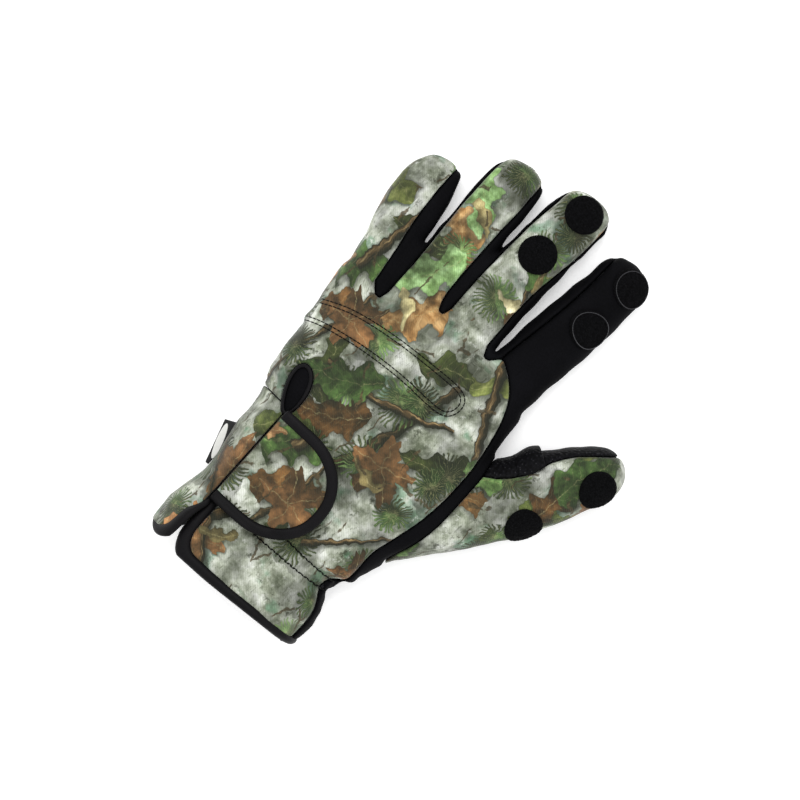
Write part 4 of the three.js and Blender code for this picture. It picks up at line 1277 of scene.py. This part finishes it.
def surface_heights():
    """Height of the glove's upper face over each column of the grid."""
    zs = axis(LOW[2], HIGH[2], STEP)
    under = DISTANCE < 0
    last = np.clip(under.shape[2] - 1 - np.argmax(under[:, :, ::-1], axis=2), 0, under.shape[2] - 2)
    i, j = np.indices(last.shape)
    inner, outer = DISTANCE[i, j, last], DISTANCE[i, j, last + 1]
    height = zs[last] + STEP * inner / (inner - outer - 1e-6)
    return np.where(under.any(axis=2), height, 0)


HEIGHTS = np.repeat(surface_heights()[:, :, None], 8, axis=2)


def on_cloth(points, proud):
    """Places seen from above, set on the cloth's upper face."""
    places = np.zeros((len(points), 3))
    places[:, :2] = points
    height = sample(places, HEIGHTS)
    places[:, 2] = height
    dip = np.array([relief(*place.reshape(3, 1, 1, 1)).item() for place in places])
    places[:, 2] = height + dip + proud
    return places


def along_line(line, pitch):
    """Pairs of start places and directions every pitch along a line."""
    line = np.array(line, float)
    legs = np.linalg.norm(np.diff(line, axis=0), axis=1)
    reach = np.concatenate([[0], np.cumsum(legs)])
    places = np.arange(0, reach[-1], pitch)
    return [np.stack([np.interp(p, reach, line[:, k]) for k in (0, 1)], axis=-1)
            for p in (places, np.minimum(places + 0.8 * pitch, reach[-1]))]


def offset_line(line, distance):
    """A line moved sideways, to the right of its direction."""
    line = np.array(line, float)
    slope = np.gradient(line, axis=0)
    slope /= np.linalg.norm(slope, axis=1, keepdims=True)
    return line + distance * np.stack([slope[:, 1], -slope[:, 0]], axis=1)


def thread_mesh(name, starts, ends, radius, material, slot):
    """Small tapered threads between pairs of places."""
    sides = 6
    along = ends - starts
    length = np.linalg.norm(along, axis=1, keepdims=True)
    along = along / (length + 1e-9)
    side = np.cross(along, (0, 0, 1.0))
    side /= np.linalg.norm(side, axis=1, keepdims=True)
    up = np.cross(side, along)
    points, faces = [], []
    rings = [(-0.06, 0.35), (0.1, 0.9), (0.5, 1.1), (0.9, 0.9), (1.06, 0.35)]
    for share, wide in rings:
        for k in range(sides):
            turn = 2 * math.pi * k / sides
            points.append(starts + along * length * share
                          + radius * wide * (math.cos(turn) * side + math.sin(turn) * up))
    for at in (-0.12, 1.12):
        points.append(starts + along * length * at)
    for ring in range(len(rings) - 1):
        for k in range(sides):
            a, b = ring * sides + k, ring * sides + (k + 1) % sides
            faces += [(a, b, b + sides), (a, b + sides, a + sides)]
    first, last = len(rings) * sides, len(rings) * sides + 1
    top = (len(rings) - 1) * sides
    for k in range(sides):
        faces += [(first, (k + 1) % sides, k), (last, top + k, top + (k + 1) % sides)]
    count = len(points)
    places = np.stack(points, axis=1).reshape(-1, 3)
    index = (np.array(faces)[None] + count * np.arange(len(starts))[:, None, None]).reshape(-1, 3)
    piece = build_mesh(name, places, outward_faces(places, index), [material])
    settle(piece, slot)


def stitch_line(name, line, pitch, radius, proud, sway=0.0):
    starts, ends = along_line(line, pitch)
    if sway:
        turn = np.where(np.arange(len(starts)) % 2, sway, -sway)[:, None]
        starts, ends = starts + turn * (0, 1), ends - turn * (0, 1)
    thread_mesh(name, on_cloth(starts, proud), on_cloth(ends, proud), radius, THREAD, "printed_neoprene")


def build_stitches():
    loop = rounded(STITCHED_LOOP)
    stitch_line("loop_stitch_outer", loop, 2.2, 0.3, 0.1)
    stitch_line("loop_stitch_inner", offset_line(loop, 2.0), 2.2, 0.3, 0.1)
    for number, line in enumerate(ELASTIC_LINES):
        stitch_line(f"elastic_stitch_{number}", rounded(line), 1.7, 0.36, 0.25, sway=0.25)


build_wall()
build_stitches()
build_overlays()
build_dots()
build_flap()
build_tag()

# The hidden pads under the tab keep their CAD solid and get a pile of their own
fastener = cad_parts["tab_fastener"]
fastener.data.materials.clear()
fastener.data.materials.append(PILE)


# Studio: a pale floor, soft light from all round and the photograph's camera

def stage():
    mesh = bpy.data.meshes.new("floor")
    side = 3.0
    mesh.from_pydata([(-side, -side, 0), (side, -side, 0), (side, side, 0), (-side, side, 0)], [],
                     [(0, 1, 2, 3)])
    floor = bpy.data.objects.new("floor", mesh)
    bpy.context.scene.collection.objects.link(floor)
    g = Graph("floor", Roughness=0.9, Emission_Color=(1.0, 1.0, 1.0, 1.0), Emission_Strength=0.3)
    at = g.node("ShaderNodeTexCoord", {}).outputs["Object"]
    paper = g.node("ShaderNodeTexNoise", {"Vector": at, "Scale": 3.0, "Detail": 2.0}).outputs[0]
    mesh.materials.append(g.finish(g.ramp(paper, [(0.3, (247, 247, 247)), (0.7, (253, 253, 253))]),
                                   g.bump(paper, 0.1)))


def soft_light(name, place, aim, size, power):
    light = bpy.data.lights.new(name, "AREA")
    light.shape = "DISK"
    light.size = size
    light.energy = power
    lamp = bpy.data.objects.new(name, light)
    bpy.context.scene.collection.objects.link(lamp)
    lamp.location = place
    lamp.rotation_euler = (Vector(aim) - Vector(place)).to_track_quat("-Z", "Y").to_euler()


def studio():
    world = bpy.data.worlds.new("studio")
    bpy.context.scene.world = world
    world.use_nodes = True
    background = world.node_tree.nodes["Background"]
    background.inputs["Color"].default_value = (1.0, 1.0, 1.0, 1.0)
    background.inputs["Strength"].default_value = 1.0
    soft_light("key", (-0.35, 0.35, 1.1), (0, 0, 0), 0.6, 5.0)
    soft_light("fill", (0.6, -0.4, 0.9), (0, 0, 0), 0.9, 1.5)
    bpy.context.scene.view_settings.view_transform = "Standard"


def camera():
    data = bpy.data.cameras.new("camera")
    data.lens = 85.0
    data.sensor_width = 36.0
    view = bpy.data.objects.new("camera", data)
    bpy.context.scene.collection.objects.link(view)
    view.matrix_world = (Matrix.Translation((-0.0175, -0.0035, 0.912))
                         @ Matrix.Rotation(math.radians(42.0), 4, "Z"))
    bpy.context.scene.camera = view


stage()
studio()
camera()
